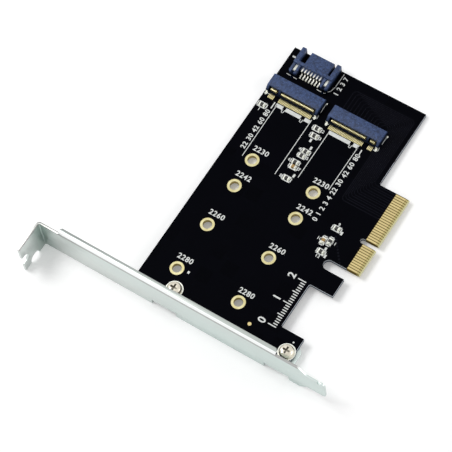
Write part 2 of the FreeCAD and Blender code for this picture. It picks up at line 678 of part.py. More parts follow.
def rear_contact_section():
    """A strip that rises behind the middle block and reaches over it to the module."""
    tail = "socket_behind + rear_tail"
    riser = "block_behind + pin_air"
    knee = "module_stop_gap - pin_air"
    tip = f"{knee} - top_beam_length"
    return [
        (tail, "0"), (tail, "pin_thick"), (f"{riser} + pin_thick", "pin_thick"),
        (f"{riser} + pin_thick", "top_beam_height"), (knee, "top_beam_height"),
        (tip, "top_beam_height - top_beam_drop"), (knee, "top_beam_height - pin_thick"),
        (riser, "top_beam_height - pin_thick"), (riser, "0")]


def make_socket_anchors(row):
    """Two soldered straps, one against the front of each cheek."""
    label = f"socket_{row}_anchors"
    anchors = new_body(label)
    cheek = f"({SOCKET_WIDTH} + {MOUTH_WIDTH}) / 4"
    face = "-socket_before"
    for side, middle in (("left", cheek), ("right", f"-{cheek}")):
        strap = new_sketch(anchors, f"{label}_{side}_section", "XZ_Plane",
                           f"-({middle} + anchor_width / 2)")
        draw_outline(strap, [
            (face, "0"), (face, "anchor_height"), (f"{face} - anchor_thick", "anchor_height"),
            (f"{face} - anchor_thick", "anchor_thick"), (f"{face} - anchor_foot", "anchor_thick"),
            (f"{face} - anchor_foot", "0")])
        pad(anchors, f"{label}_{side}", strap, "anchor_width")
    place_at(anchors, MODULE_EDGE, ROWS[row])


# Drive cable socket, drawn from its mouth backwards

def make_drive_housing():
    """The moulding: back wall, two arms, keyed tongue, contact ledge and two grooved feet."""
    housing = new_body("drive_socket_housing")
    half = "drive_width / 2"
    wall = new_sketch(housing, "wall_and_arms_outline", "XY_Plane")
    inner = f"{half} - arm_thick"
    draw_outline(wall, [
        (WALL_REAR, f"-{half}"), ("0", f"-{half}"), ("0", f"-({inner})"),
        (WALL_FRONT, f"-({inner})"), (WALL_FRONT, inner), ("0", inner), ("0", half),
        (WALL_REAR, half)])
    pad(housing, "wall_and_arms", wall, "drive_height")

    tongue = new_sketch(housing, "tongue_section", "YZ_Plane", WALL_FRONT)
    under = "tongue_high - tongue_thick"
    leg = f"{under} - tongue_leg_drop"
    draw_outline(tongue, [
        ("-tongue_right", "tongue_high"), ("-tongue_right", leg),
        ("tongue_leg - tongue_right", leg), ("tongue_leg - tongue_right", under),
        ("tongue_left", under), ("tongue_left", "tongue_high")])
    pad(housing, "tongue", tongue, "drive_bay")

    ledge = new_sketch(housing, "ledge_outline", "XY_Plane", "ledge_bottom")
    ledge_half = "(drive_spacing * (drive_pin_count - 1) / 2 + ledge_beyond)"
    draw_rectangle(ledge, (f"{WALL_REAR} - ledge_reach", f"-{ledge_half}"),
                   (WALL_REAR, ledge_half))
    pad(housing, "ledge", ledge, "ledge_top - ledge_bottom")

    feet = new_sketch(housing, "feet_outlines", "XY_Plane")
    foot_in = f"{half} - drive_foot_width"
    draw_rectangle(feet, (FOOT_REAR, f"-{half}"), (WALL_REAR, f"-({foot_in})"))
    draw_rectangle(feet, (FOOT_REAR, foot_in), (WALL_REAR, half))
    pad(housing, "feet", feet, "drive_foot_height")

    dress(housing, "foot_corners", "Fillet", "Radius", "drive_foot_round", upright_at(
        *((FOOT_REAR, f"{sign}({edge})") for sign in ("", "-") for edge in (half, foot_in))))

    grooves = new_sketch(housing, "groove_outlines", "XY_Plane", "drive_foot_height")
    for low, high in groove_sides("groove_width"):
        draw_rectangle(grooves, (FOOT_REAR, low), (WALL_REAR, high))
    pocket(housing, "grooves", grooves, "groove_depth")
    place_drive_piece(housing)


def place_drive_piece(body):
    """Puts a piece of the drive socket at the board's rear edge."""
    place_at(body, f"{BOARD_REAR} - drive_inset", "board_top - drive_from_top")


def groove_sides(width):
    """The two sides of a strip of some width along the middle of each foot."""
    middle = "(drive_width - drive_foot_width) / 2"
    return [(f"{sign}{middle} - {width} / 2", f"{sign}{middle} + {width} / 2")
            for sign in ("-", "")]


def make_drive_contacts():
    """Seven strips that lie on the ledge, drop behind it and end in soldered tails."""
    contacts = new_body("drive_socket_contacts")
    edge = "-(drive_spacing * (drive_pin_count - 1) / 2 - drive_pin_width / 2)"
    section = new_sketch(contacts, "drive_contact_section", "XZ_Plane", f"-({edge})")
    top = "ledge_top + drive_pin_thick"
    inside = f"{WALL_REAR} - ledge_reach - drive_pin_air"
    outside = f"{inside} - drive_pin_thick"
    tail = f"{outside} - drive_tail"
    draw_outline(section, [
        (WALL_REAR, "ledge_top"), (WALL_REAR, top), (outside, top),
        (outside, "drive_pin_thick"), (tail, "drive_pin_thick"), (tail, "0"), (inside, "0"),
        (inside, "ledge_top")])
    contact = pad(contacts, "drive_contact", section, "drive_pin_width")
    repeat(contacts, "drive_contacts", contact, "Y_Axis", "drive_spacing", "drive_pin_count")
    place_drive_piece(contacts)


def make_drive_clips():
    """A strap in each foot's groove, down its rear face and out along the board."""
    clips = new_body("drive_socket_clips")
    seat = "drive_foot_height - groove_depth"
    strap = "anchor_thick"
    for side, (low, high) in zip(("right", "left"), groove_sides("clip_width")):
        section = new_sketch(clips, f"{side}_clip_section", "XZ_Plane", f"-({high})")
        draw_outline(section, [
            (WALL_REAR, seat), (WALL_REAR, f"{seat} + {strap}"),
            (f"{FOOT_REAR} - {strap}", f"{seat} + {strap}"), (f"{FOOT_REAR} - {strap}", strap),
            (f"{FOOT_REAR} - clip_foot", strap), (f"{FOOT_REAR} - clip_foot", "0"),
            (FOOT_REAR, "0"), (FOOT_REAR, seat)])
        pad(clips, f"{side}_clip", section, f"{high} - ({low})")
    place_drive_piece(clips)


# Chip parts and pads

def box_piece(name, low, size):
    """A block with one low corner and three edge lengths, each tied to the sheet."""
    block = doc.addObject("Part::Box", name)
    for prop, text in zip(("Length", "Width", "Height"), size):
        tie(block, prop, text)
    place_at(block, *low)
    return block


def group_pieces(label, blocks):
    """One named sub-part made of separate blocks."""
    group = doc.addObject("Part::Compound", label)
    group.Label = label
    group.Links = blocks
    doc.recompute()
    made.append(group)


def chip_centre(name):
    """Where a chip part's centre stands on the board."""
    if name in SOCKET_CHIPS:
        return {"x": f"{MODULE_EDGE} - {name}_before", "y": f"board_top - {name}_rise"}
    return {"x": f"-{name}_before", "y": f"{name}_rise"}


def chip_block(name, kind, ends, sides, low, high):
    """A block over part of one chip's length, from one end place to another."""
    turned = CHIPS[name][2]
    centre = chip_centre(name)
    length_axis, width_axis = ("y", "x") if turned else ("x", "y")
    place = {
        length_axis: f"{centre[length_axis]} + {ends[0]}",
        width_axis: f"{centre[width_axis]} - ({sides}) / 2",
    }
    size = {length_axis: f"{ends[1]} - ({ends[0]})", width_axis: sides}
    return box_piece(f"{name}_{kind}", (place["x"], place["y"], low),
                     (size["x"], size["y"], f"{high} - ({low})"))


def make_chips():
    """Chip bodies, their metal ends and the tinned pads under them."""
    half = "chip_length / 2"
    neck = f"{half} - chip_cap"
    low = "pad_thick"
    high = "pad_thick + chip_height"
    bodies = [chip_block(name, "body", (f"-({neck})", neck), "chip_width", low, high)
              for name in CHIPS]
    group_pieces("chip_bodies", bodies)

    caps, pads = [], []
    for name in CHIPS:
        caps.append(chip_block(name, "cap_a", (f"-({half})", f"-({neck})"), "chip_width", low, high))
        caps.append(chip_block(name, "cap_b", (neck, half), "chip_width", low, high))
        pad_out = f"{half} + pad_over"
        pad_in = f"{half} - pad_under"
        wide = "chip_width + pad_over"
        pads.append(chip_block(name, "pad_a", (f"-({pad_out})", f"-({pad_in})"), wide, "0", low))
        pads.append(chip_block(name, "pad_b", (pad_in, pad_out), wide, "0", low))
    group_pieces("chip_end_caps", caps)
    group_pieces("solder_pads", pads)


def make_marker():
    """The round plated marker near the bracket."""
    marker = new_body("marker_pad")
    outline = new_sketch(marker, "marker_outline", "XY_Plane")
    draw_circle(outline, ("0", "0"), "marker_width")
    pad(marker, "marker_disc", outline, "plating")
    place_at(marker, f"{FACE_OUT} + marker_across", "marker_y")


# The whole card

make_board()
make_fingers("front_contact_fingers", "0")
make_fingers("back_contact_fingers", "-board_thick - plating")
for hole_name, hole_place in HOLES.items():
    for row_name, row_place in ROWS.items():
        make_hole_ring(f"hole_ring_{hole_name}_{row_name}", hole_place, row_place)
make_marker()
make_bracket()
make_screw("lower_bracket_screw", "screw_low")
make_screw("upper_bracket_screw", "screw_high")
for row_name in ROWS:
    make_socket_housing(row_name)
    make_contact_row(row_name, f"socket_{row_name}_front_contacts", front_contact_section(), True)
    make_contact_row(row_name, f"socket_{row_name}_rear_contacts", rear_contact_section(), False)
    make_socket_anchors(row_name)
make_drive_housing()
make_drive_contacts()
make_drive_clips()
make_chips()
doc.recompute()

for item in doc.Objects:
    if "Invalid" in item.State or "Error" in item.State:
        raise RuntimeError(f"{item.Label} failed: {item.State}")
for piece in made:
    if piece.Shape.isNull() or not piece.Shape.isValid():
        raise RuntimeError(f"{piece.Label} has no valid shape")

os.makedirs("parts", exist_ok=True)
for piece in made:
    piece.Shape.exportStep(os.path.join("parts", f"{piece.Label}.step"))
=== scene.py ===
import math

import bmesh
import bpy
from bpy.props import FloatProperty, FloatVectorProperty, PointerProperty
from bpy.types import Operator, Panel, PropertyGroup
from mathutils import Matrix, Vector


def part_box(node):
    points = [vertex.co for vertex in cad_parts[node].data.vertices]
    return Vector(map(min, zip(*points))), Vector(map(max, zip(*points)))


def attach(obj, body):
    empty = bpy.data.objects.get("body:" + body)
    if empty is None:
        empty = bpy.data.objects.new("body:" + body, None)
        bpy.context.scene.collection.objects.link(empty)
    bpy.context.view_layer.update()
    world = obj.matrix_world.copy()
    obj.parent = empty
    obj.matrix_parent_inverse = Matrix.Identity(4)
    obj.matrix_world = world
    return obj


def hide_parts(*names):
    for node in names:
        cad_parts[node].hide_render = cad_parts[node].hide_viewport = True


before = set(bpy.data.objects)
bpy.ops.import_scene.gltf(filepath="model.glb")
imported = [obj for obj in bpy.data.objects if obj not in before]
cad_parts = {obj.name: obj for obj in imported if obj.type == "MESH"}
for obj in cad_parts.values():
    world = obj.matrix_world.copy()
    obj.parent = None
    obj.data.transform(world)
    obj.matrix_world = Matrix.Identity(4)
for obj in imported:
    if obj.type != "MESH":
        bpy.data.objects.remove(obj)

bl_info = {
    "name": "Drive adapter card",
    "version": (1, 0, 0),
    "blender": (4, 5, 0),
    "location": "View3D > Sidebar > Card",
    "description": "Finishes, print and rounded pieces of an adapter card with two module sockets",
    "category": "Object",
}

MM = 0.001
# Where the bracket's outer face stands across the card, in millimetres
BRACKET_FACE = -57.2
# The edge of the module sockets that a module's end stands against, in millimetres
SOCKET_EDGE = 37.4

# How far the corners of a screw's cross recess lie from its middle, in millimetres
RECESS_REACH = 1.46

# Layout of the shader trees: nodes in a row, room for each, and the last nodes
ROW_NODES, NODE_WIDTH, NODE_HEIGHT = 8, 190, 260
SHADER_AT, OUTPUT_AT, GROUP_END_AT = (1600, 0), (1900, 0), (1700, 0)
# The colour sockets of a mix node
MIX_FACTOR, MIX_FIRST, MIX_SECOND, MIX_RESULT = 0, 6, 7, 2

# Lines of print on the component side, as runs of (across, along) in millimetres
OUTLINE_RUNS = [
    [(30.9, 61.8), (7.2, 61.6)],
    [(32.2, 47.5), (6.9, 47.4)],
    [(30.7, 39.4), (9.9, 39.4)],
    [(31.3, 27.1), (11.3, 27.2)],
    [(33.5, 67.9), (33.7, 66.2)],
    [(33.6, 42.5), (33.8, 41.2)],
    [(33.3, 47.7), (33.6, 46.1), (35.0, 46.3)],
    [(33.0, 21.8), (33.4, 20.1), (34.8, 20.3)],
    [(36.6, 46.25), (40.1, 46.35)],
    [(36.6, 20.2), (39.6, 20.2)],
    [(44.1, 65.7), (43.9, 61.4)],
    [(43.9, 52.5), (43.8, 49.3), (44.7, 48.8), (45.9, 47.7), (48.1, 47.2), (54.2, 47.1)],
]
# Broad bars of print: first end, second end, width
BARS = [
    ((31.0, 62.2), (31.0, 59.2), 1.5), ((31.0, 58.0), (31.0, 51.5), 1.5),
    ((31.1, 50.0), (31.1, 47.7), 1.5), ((31.1, 39.6), (31.1, 30.5), 1.5),
    ((31.2, 29.2), (31.2, 26.9), 1.5), ((28.8, 63.0), (31.7, 63.0), 0.45),
    ((28.1, 25.2), (30.9, 25.3), 0.45), ((-42.4, 53.0), (-41.4, 53.0), 0.8),
    ((-46.0, 6.5), (-45.4, 6.5), 0.6), ((51.4, 67.0), (51.4, 67.1), 0.7),
]
# Hooked notches between the bars: centre across, centre along
NOTCHES = [(29.9, 58.6), (29.9, 50.75), (30.0, 29.85)]
# Plain numbers beside the hold-down holes: text, centre across, centre along
HOLE_NUMBERS = [
    ("2230", 12.0, 56.6), ("2242", 0.2, 56.6), ("2260", -17.7, 56.6), ("2280", -38.0, 56.9),
    ("2230", 11.9, 30.9), ("2242", 0.0, 30.4), ("2260", -18.1, 30.6), ("2280", -38.2, 30.8),
]
# Plain numbers that read along the board: text, centre across, centre along, height
LONG_NUMBERS = [
    ("22 30 42 60 80", 18.8, 63.3, 1.9), ("0 1 2 3 4 22 30 42 60 80", 13.4, 25.3, 1.95),
    ("1 2 3 7", 49.3, 45.4, 1.9),
]
# Frames of print round the small chips: centre across, centre along, size across, size along
CHIP_FRAMES = [
    (28.5, 66.6, 2.0, 3.8), (30.1, 43.9, 1.9, 3.6), (27.1, 43.2, 1.9, 3.6), (20.0, 42.5, 1.9, 3.6),
    (17.9, 42.9, 1.8, 3.4), (14.5, 43.5, 1.9, 3.6), (12.6, 43.2, 1.9, 3.6), (7.4, 42.8, 2.0, 3.6),
    (-0.6, 16.6, 2.0, 3.6), (-6.9, 18.3, 3.6, 1.7), (-6.1, 16.0, 3.6, 1.7), (-11.1, 16.7, 2.0, 3.4),
]
# Solder dots behind the right-hand end of each module socket
ANCHOR_DOTS = [(40.6, 46.3), (40.1, 20.2)]
# Small printed squares beside the chips
CHIP_MARKS = [(-1.3, 14.1), (-11.9, 14.5), (-9.4, 15.8), (24.9, 43.4), (22.2, 41.6), (9.6, 41.0)]
# Plain numbers of the chips: text, centre across, centre along
CHIP_NUMBERS = [
    ("1", 26.4, 66.7), ("2", 30.1, 41.3), ("3", 27.1, 40.7), ("4", 20.1, 45.0), ("5", 17.9, 40.5),
    ("6", 14.5, 46.0), ("7", 12.6, 40.7), ("8", 7.4, 45.3), ("9", 1.2, 16.6), ("10", -6.9, 20.0),
    ("11", -6.1, 14.4), ("12", -13.1, 16.9),
]


def length(name, description, size):
    """A property that holds a length, from its size in millimetres."""
    return FloatProperty(name=name, description=description, default=size * MM, unit="LENGTH")


def colour(name, description, shade):
    """A property that holds a colour."""
    return FloatVectorProperty(name=name, description=description, default=(*shade, 1), subtype="COLOR",
                               size=4, min=0, max=1)


class CardPrint(PropertyGroup):
    """Sizes of the printed marks and the coated tracks."""

    height: length("Print height", "How far the print stands on the board", 0.02)
    line: length("Line width", "Width of the outline lines", 0.26)
    digits: length("Digit height", "Height of the plain numbers", 2.1)
    chip_digits: length("Chip digit height", "Height of the chips' numbers", 1.25)
    track: length("Track width", "Width of the coated copper tracks", 0.24)
    chip_line: length("Chip line width", "Width of the frames round the chips", 0.40)


class CardSolder(PropertyGroup):
    """Sizes of the plated pads under the module sockets' front tails."""

    pad_before: length("Pad before tail", "How far a pad reaches past its tail", 0.15)
    pad_under: length("Pad under tail", "How far a pad runs under its tail", 1.2)
    pad_width: length("Pad width", "Width of a pad", 0.32)
    pad_height: length("Pad height", "How far a pad stands on the board", 0.03)


class CardEdges(PropertyGroup):
    """Rounding of the edges."""

    sheet: length("Sheet rounding", "Rounding of the bracket's cut edges", 0.09)
    resin: length("Resin rounding", "Rounding of the moulded housings", 0.06)
    screw: length("Screw rounding", "Rounding of the screw edges", 0.07)


class CardColours(PropertyGroup):
    """Colours of the finishes."""

    mask: colour("Board coating", "Near-black coating of the board", (0.0008, 0.0009, 0.0019))
    # The core's pale blue-white is partly the cut edge's own colour and partly a painted highlight
    core: colour("Board core", "Upper part of the board's cut edge", (0.68, 0.72, 0.78))
    laminate: colour("Bare laminate", "Pale rim of the board below the fingers", (0.74, 0.71, 0.42))
    ink: colour("Print", "White print", (0.78, 0.80, 0.78))
    resin: colour("Resin", "Blue-grey resin of the sockets", (0.041, 0.072, 0.176))
    gold: colour("Gold", "Gold plating", (0.66, 0.54, 0.26))
    steel: colour("Bracket steel", "Zinc-plated steel sheet", (0.60, 0.69, 0.665))
    nickel: colour("Screw nickel", "Nickel plating of the screws", (0.64, 0.60, 0.50))
    tin: colour("Tin", "Tinned chip ends, anchors, clips and solder", (0.80, 0.81, 0.74))
    ceramic: colour("Chip ceramic", "Dark body of the small chips", (0.020, 0.019, 0.018))
    tan: colour("Capacitor", "Tan body of two of the chips", (0.36, 0.22, 0.07))


class CardStudio(PropertyGroup):
    """Camera, floor and lamps."""

    camera_place: FloatVectorProperty(
        name="Camera place", description="Where the camera stands", subtype="TRANSLATION", size=3,
        default=(-0.304905, -0.212247, 0.794189))
    camera_turn: FloatVectorProperty(
        name="Camera turn", description="How the camera is turned", subtype="EULER", size=3,
        default=(math.radians(25.634), math.radians(4.853), math.radians(-57.248)))
    lens: FloatProperty(
        name="Lens", description="Focal length in millimetres on a 36 mm sensor", default=196.56, min=1)
    daylight: FloatProperty(
        name="Daylight", description="Level of the even light", default=0.48, min=0)
    key: FloatProperty(
        name="Key lamp", description="Power of the key lamp", default=2.5, unit="POWER")
    fill: FloatProperty(
        name="Fill lamp", description="Power of the fill lamp", default=1.1, unit="POWER")
    floor_lift: FloatProperty(
        name="Floor lift", description="Brightness that the camera adds to the floor", default=0.2, min=0)


# Shader trees

class Graph:
    """Adds nodes to a tree from left to right and links them."""

    def __init__(self, tree):
        self.tree = tree
        self.count = 0

    def node(self, kind, settings=None, inputs=None):
        """A new node with its settings, and its inputs set or linked."""
        made = self.tree.nodes.new(kind)
        row, column = divmod(self.count, ROW_NODES)
        made.location = (column * NODE_WIDTH, -row * NODE_HEIGHT)
        self.count += 1
        for name, value in (settings or {}).items():
            setattr(made, name, value)
        for name, value in (inputs or {}).items():
            self.feed(made, name, value)
        return made

    def feed(self, node, name, value):
        """Links a socket to an input, or sets the input to a plain value."""
        socket = node.inputs[name]
        if isinstance(value, bpy.types.NodeSocket):
            self.tree.links.new(value, socket)
        else:
            socket.default_value = value

    def math(self, operation, first, second=0.0, third=None):
        made = self.node("ShaderNodeMath", {"operation": operation}, {0: first, 1: second})
        if third is not None:
            self.feed(made, 2, third)
        return made.outputs[0]

    def times(self, first, second):
        return self.math("MULTIPLY", first, second)

    def step(self, value, edge, start=0.0):
        """A smooth 0 to 1 as value crosses an edge, which is a pair of numbers from start on."""
        made = self.node("ShaderNodeMapRange", {"interpolation_type": "SMOOTHSTEP"},
                         {"Value": value, "From Min": start + edge[0], "From Max": start + edge[1]})
        return made.outputs["Result"]

    def mix(self, factor, first, second):
        made = self.node("ShaderNodeMix", {"data_type": "RGBA"},
                         {MIX_FACTOR: factor, MIX_FIRST: first, MIX_SECOND: second})
        return made.outputs[MIX_RESULT]

    def place(self, stretch=(1, 1, 1)):
        """Object coordinates in millimetres, stretched."""
        coordinates = self.node("ShaderNodeTexCoord")
        mapped = self.node("ShaderNodeMapping", None, {
            "Vector": coordinates.outputs["Object"], "Scale": [s / MM for s in stretch]})
        return mapped.outputs["Vector"]

    def axes(self, place):
        """How far a place lies across, along and above the board."""
        return self.node("ShaderNodeSeparateXYZ", None, {"Vector": place}).outputs

    def distance(self, first, second):
        made = self.node("ShaderNodeVectorMath", {"operation": "DISTANCE"}, {0: first, 1: second})
        return made.outputs["Value"]

    def noise(self, place, scale, detail=3.0, roughness=0.55):
        made = self.node("ShaderNodeTexNoise", None, {
            "Vector": place, "Scale": scale, "Detail": detail, "Roughness": roughness})
        return made.outputs["Fac"]

    def seen(self):
        """1 for the rays that show the surroundings, and 0 for those that light the card."""
        rays = self.node("ShaderNodeLightPath").outputs
        shown = self.math("MAXIMUM", rays["Is Camera Ray"], rays["Is Glossy Ray"])
        return self.math("MAXIMUM", shown, rays["Is Transmission Ray"])


def group_tree(name, sockets_in, sockets_out):
    """A new shader node group with its sockets."""
    tree = bpy.data.node_groups.new(name, "ShaderNodeTree")
    for label, kind, default in sockets_in:
        socket = tree.interface.new_socket(label, in_out="INPUT", socket_type="NodeSocket" + kind)
        if default is not None:
            socket.default_value = default
    for label, kind in sockets_out:
        tree.interface.new_socket(label, in_out="OUTPUT", socket_type="NodeSocket" + kind)
    graph = Graph(tree)
    start = graph.node("NodeGroupInput")
    end = graph.node("NodeGroupOutput")
    end.location = GROUP_END_AT
    return graph, start, end


# The grained finish: edges of its patches and dots, the share of the dots in its relief, and its depth
PATCH_EDGE, DOT_EDGE = (0.32, 0.68), (0.08, 0.34)
DOT_RELIEF = 0.35
GRAIN_DEPTH = 0.06 * MM


def grain_group():
    """Colour, roughness and bump that vary over a surface, with patches, grain and fine specks."""
    graph, start, end = group_tree(
        "Grained finish",
        [("Colour", "Color", (0.5, 0.5, 0.5, 1)), ("Second colour", "Color", (0.4, 0.4, 0.4, 1)),
         ("Speck colour", "Color", (0.6, 0.6, 0.6, 1)), ("Vector", "Vector", None),
         ("Patch size", "Float", 0.2), ("Grain size", "Float", 3.0), ("Speck size", "Float", 5.0),
         ("Speck amount", "Float", 0.5), ("Smooth", "Float", 0.3), ("Rough", "Float", 0.5),
         ("Relief", "Float", 0.1)],
        [("Colour", "Color"), ("Roughness", "Float"), ("Normal", "Vector")])
    given = start.outputs
    patches = graph.step(graph.noise(given["Vector"], given["Patch size"], detail=4.0), PATCH_EDGE)
    grains = graph.noise(given["Vector"], given["Grain size"], detail=5.0, roughness=0.62)
    specks = graph.node("ShaderNodeTexVoronoi", None, {
        "Vector": given["Vector"], "Scale": given["Speck size"]})
    dots = graph.math("SUBTRACT", 1.0, graph.step(specks.outputs["Distance"], DOT_EDGE))
    chosen = graph.times(dots, given["Speck amount"])
    base = graph.mix(patches, given["Colour"], given["Second colour"])
    graph.feed(end, "Colour", graph.mix(chosen, base, given["Speck colour"]))
    spread = graph.math("SUBTRACT", given["Rough"], given["Smooth"])
    graph.feed(end, "Roughness", graph.math("MULTIPLY_ADD", grains, spread, given["Smooth"]))
    height = graph.math("MULTIPLY_ADD", dots, DOT_RELIEF, grains)
    bump = graph.node("ShaderNodeBump", None, {
        "Height": height, "Strength": given["Relief"], "Distance": GRAIN_DEPTH})
    graph.feed(end, "Normal", bump.outputs["Normal"])


# The rubs: their scale beside that of the scratches, and the edge of a scratch
RUB_SCALE = 0.13
RUB_EDGE = (0.30, 0.42)


def wear_group():
    """A mask of small rubs and scratches, gathered in broader places."""
    graph, start, end = group_tree(
        "Rubs and scratches",
        [("Vector", "Vector", None), ("Scale", "Float", 2.0), ("Amount", "Float", 0.5)], [("Mask", "Float")])
    given = start.outputs
    lines = graph.noise(given["Vector"], given["Scale"], detail=6.0, roughness=0.7)
    rubs = graph.noise(given["Vector"], graph.times(given["Scale"], RUB_SCALE), detail=2.0)
    ridge = graph.step(graph.times(lines, rubs), RUB_EDGE)
    graph.feed(end, "Mask", graph.times(ridge, given["Amount"]))


def shader(name):
    """The tree of a new material, empty but for its output, and its surface shader."""
    material = bpy.data.materials.new(name)
    material.use_nodes = True
    material.node_tree.nodes.clear()
    graph = Graph(material.node_tree)
    surface = graph.node("ShaderNodeBsdfPrincipled")
    output = graph.node("ShaderNodeOutputMaterial", None, {"Surface": surface.outputs[0]})
    surface.location, output.location = SHADER_AT, OUTPUT_AT
    return graph, surface


def grain(graph, colour, second, speck, place, **numbers):
    """Adds the grained finish to a material and gives its outputs."""
    inputs = {"Colour": colour, "Second colour": second, "Speck colour": speck, "Vector": place}
    inputs.update({name.replace("_", " ").capitalize(): value for name, value in numbers.items()})
    tree = bpy.data.node_groups["Grained finish"]
    return graph.node("ShaderNodeGroup", {"node_tree": tree}, inputs).outputs


def dress(graph, surface, finish, colour):
    """Feeds a surface shader from the grained finish, but for its colour."""
    graph.feed(surface, "Base Color", colour)
    graph.feed(surface, "Roughness", finish["Roughness"])
    graph.feed(surface, "Normal", finish["Normal"])


def scaled(colour, factor):
    """A colour made darker or lighter."""
    return [min(1.0, c * factor) for c in colour[:3]] + [1.0]


def corners(node):
    """The two corners of a node's box, in millimetres."""
    return [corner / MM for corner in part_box(node)]


# Where the board's looks change, in millimetres: beside, above and below the fingers, on a finger's side and
# the bevel, and down the cut edge, where painted shade darkens its lower part
FINGERS_LEFT, FINGERS_RIGHT, FINGERS_TOP, FINGERS_TIP = (-0.5, -0.3), (0.5, 0.3), (0.12, 0.04), (0.02, -0.12)
FINGER_SIDE, BEVEL_RIM = (0.38, 0.32), (0.45, 0.30)
CUT_FOOT, CUT_TOP, CUT_SHADE = (-1.56, -1.54), (-0.01, -0.03), (-0.62, -0.78)
SHEET_EDGE, BURN_EDGE = (0.30, 0.32), (0.60, 0.72)
BURNT_FIBRE, SHADED_FIBRE = (0.10, 0.055, 0.02, 1), (0.055, 0.070, 0.095, 1)
FINGER_GAP, END_GAP, FINGER_END = (0.135, 0.095, 0.022, 1), (0.16, 0.115, 0.03, 1), (0.58, 0.50, 0.22, 1)


def board_material(colours):
    """Glossy near-black coating with faint copper below it, a pale cut edge, partly a painted highlight, with
    painted shade in its lower part, and an uncoated finger tongue with striped finger ends on its bevel."""
    graph, surface = shader("board_finish")
    place = graph.place()
    low, high = corners("front_contact_fingers")
    across, along, height = graph.axes(place)
    tongue = graph.times(graph.step(across, FINGERS_LEFT, low.x), graph.step(across, FINGERS_RIGHT, high.x))
    tongue = graph.times(tongue, graph.step(along, FINGERS_TOP, high.y))
    bevel = graph.step(along, FINGERS_TIP, low.y)
    inside = graph.times(graph.step(height, CUT_FOOT), graph.step(height, CUT_TOP))
    copper = graph.node("ShaderNodeTexVoronoi", {"distance": "CHEBYCHEV", "feature": "F1"},
                        {"Vector": place, "Scale": 0.11, "Randomness": 0.8})
    sheet = graph.step(copper.outputs["Distance"], SHEET_EDGE)
    coating = graph.mix(sheet, list(colours.mask), scaled(colours.mask, 1.5))
    finish = grain(graph, coating, scaled(colours.mask, 1.3), scaled(colours.mask, 2.2), place,
                   patch_size=0.06, grain_size=0.7, speck_size=1.1, speck_amount=0.25,
                   smooth=0.22, rough=0.36, relief=0.12)
    layers = graph.node("ShaderNodeTexWave", {"bands_direction": "Z"}, {
        "Vector": place, "Scale": 1.6, "Distortion": 1.2, "Detail": 3.0, "Detail Scale": 2.0}).outputs["Fac"]
    fibre = graph.mix(layers, list(colours.core), scaled(colours.core, 0.62))
    burnt = graph.step(graph.noise(place, 0.5, detail=4.0, roughness=0.7), BURN_EDGE)
    cut = graph.mix(burnt, fibre, BURNT_FIBRE)
    # Painted shade: the lower part of the cut edge is darkened
    cut = graph.mix(graph.step(height, CUT_SHADE), cut, SHADED_FIBRE)
    from_middle = graph.math("ABSOLUTE", graph.math("SUBTRACT", graph.math("FRACT", across), 0.5))
    finger_ends = graph.mix(graph.step(from_middle, FINGER_SIDE), END_GAP, FINGER_END)
    rim = graph.mix(layers, list(colours.laminate), scaled(colours.laminate, 0.8))
    sloped = graph.mix(graph.step(along, BEVEL_RIM), finger_ends, rim)
    bare = graph.mix(bevel, FINGER_GAP, sloped)
    whole = graph.mix(inside, finish["Colour"], cut)
    dress(graph, surface, finish, graph.mix(tongue, whole, bare))
    graph.feed(surface, "Roughness", graph.math("MULTIPLY_ADD", inside, 0.5, finish["Roughness"]))
    surface.inputs["Specular IOR Level"].default_value = 0.016


def track_material(colours):
    """Coating over copper: a little lighter and bluer than over the bare board."""
    graph, surface = shader("track_finish")
    finish = grain(graph, (0.0062, 0.0066, 0.0120, 1), (0.0045, 0.0048, 0.0085, 1), scaled(colours.mask, 4),
                   graph.place(), patch_size=0.1, grain_size=1.2, speck_size=1.6, speck_amount=0.2,
                   smooth=0.2, rough=0.34, relief=0.12)
    dress(graph, surface, finish, finish["Colour"])
    surface.inputs["Specular IOR Level"].default_value = 0.05


# Heights between which painted shade darkens the sockets inside, in millimetres
RESIN_SHADE = (2.95, 1.0)


def resin_material(colours):
    """Blue-grey glass-filled resin with pale specks, with painted shade, darker and less glossy, down in the
    sockets.
    """
    graph, surface = shader("resin_finish")
    place = graph.place()
    finish = grain(graph, list(colours.resin), scaled(colours.resin, 0.42), scaled(colours.resin, 2.4), place,
                   patch_size=1.1, grain_size=4.0, speck_size=1.7, speck_amount=0.6,
                   smooth=0.38, rough=0.62, relief=0.5)
    # Painted shade: down in the sockets the resin darkens and its gloss drops
    deep = graph.step(graph.axes(place)["Z"], RESIN_SHADE)
    dress(graph, surface, finish, graph.mix(deep, finish["Colour"], scaled(colours.resin, 0.07)))
    graph.feed(surface, "Specular IOR Level", graph.math("MULTIPLY_ADD", deep, -0.33, 0.35))


def metal_material(name, colour, second, rubbed, smooth, rough, relief, stretch=(1, 1, 1), patch=0.12):
    """Bare or plated metal with grain, patches and small rubs. Gives its tree, its shader and its colour."""
    graph, surface = shader(name)
    place = graph.place(stretch)
    finish = grain(graph, list(colour), list(second), scaled(colour, 1.15), place,
                   patch_size=patch, grain_size=2.6, speck_size=2.0, speck_amount=0.12,
                   smooth=smooth, rough=rough, relief=relief)
    rubs = graph.node("ShaderNodeGroup", {"node_tree": bpy.data.node_groups["Rubs and scratches"]},
                      {"Vector": place, "Scale": 3.5, "Amount": rubbed}).outputs["Mask"]
    worn = graph.mix(rubs, finish["Colour"], scaled(colour, 0.62))
    dress(graph, surface, finish, worn)
    graph.feed(surface, "Roughness", graph.math("MULTIPLY_ADD", rubs, 0.15, finish["Roughness"]))
    surface.inputs["Metallic"].default_value = 1.0
    return graph, surface, worn


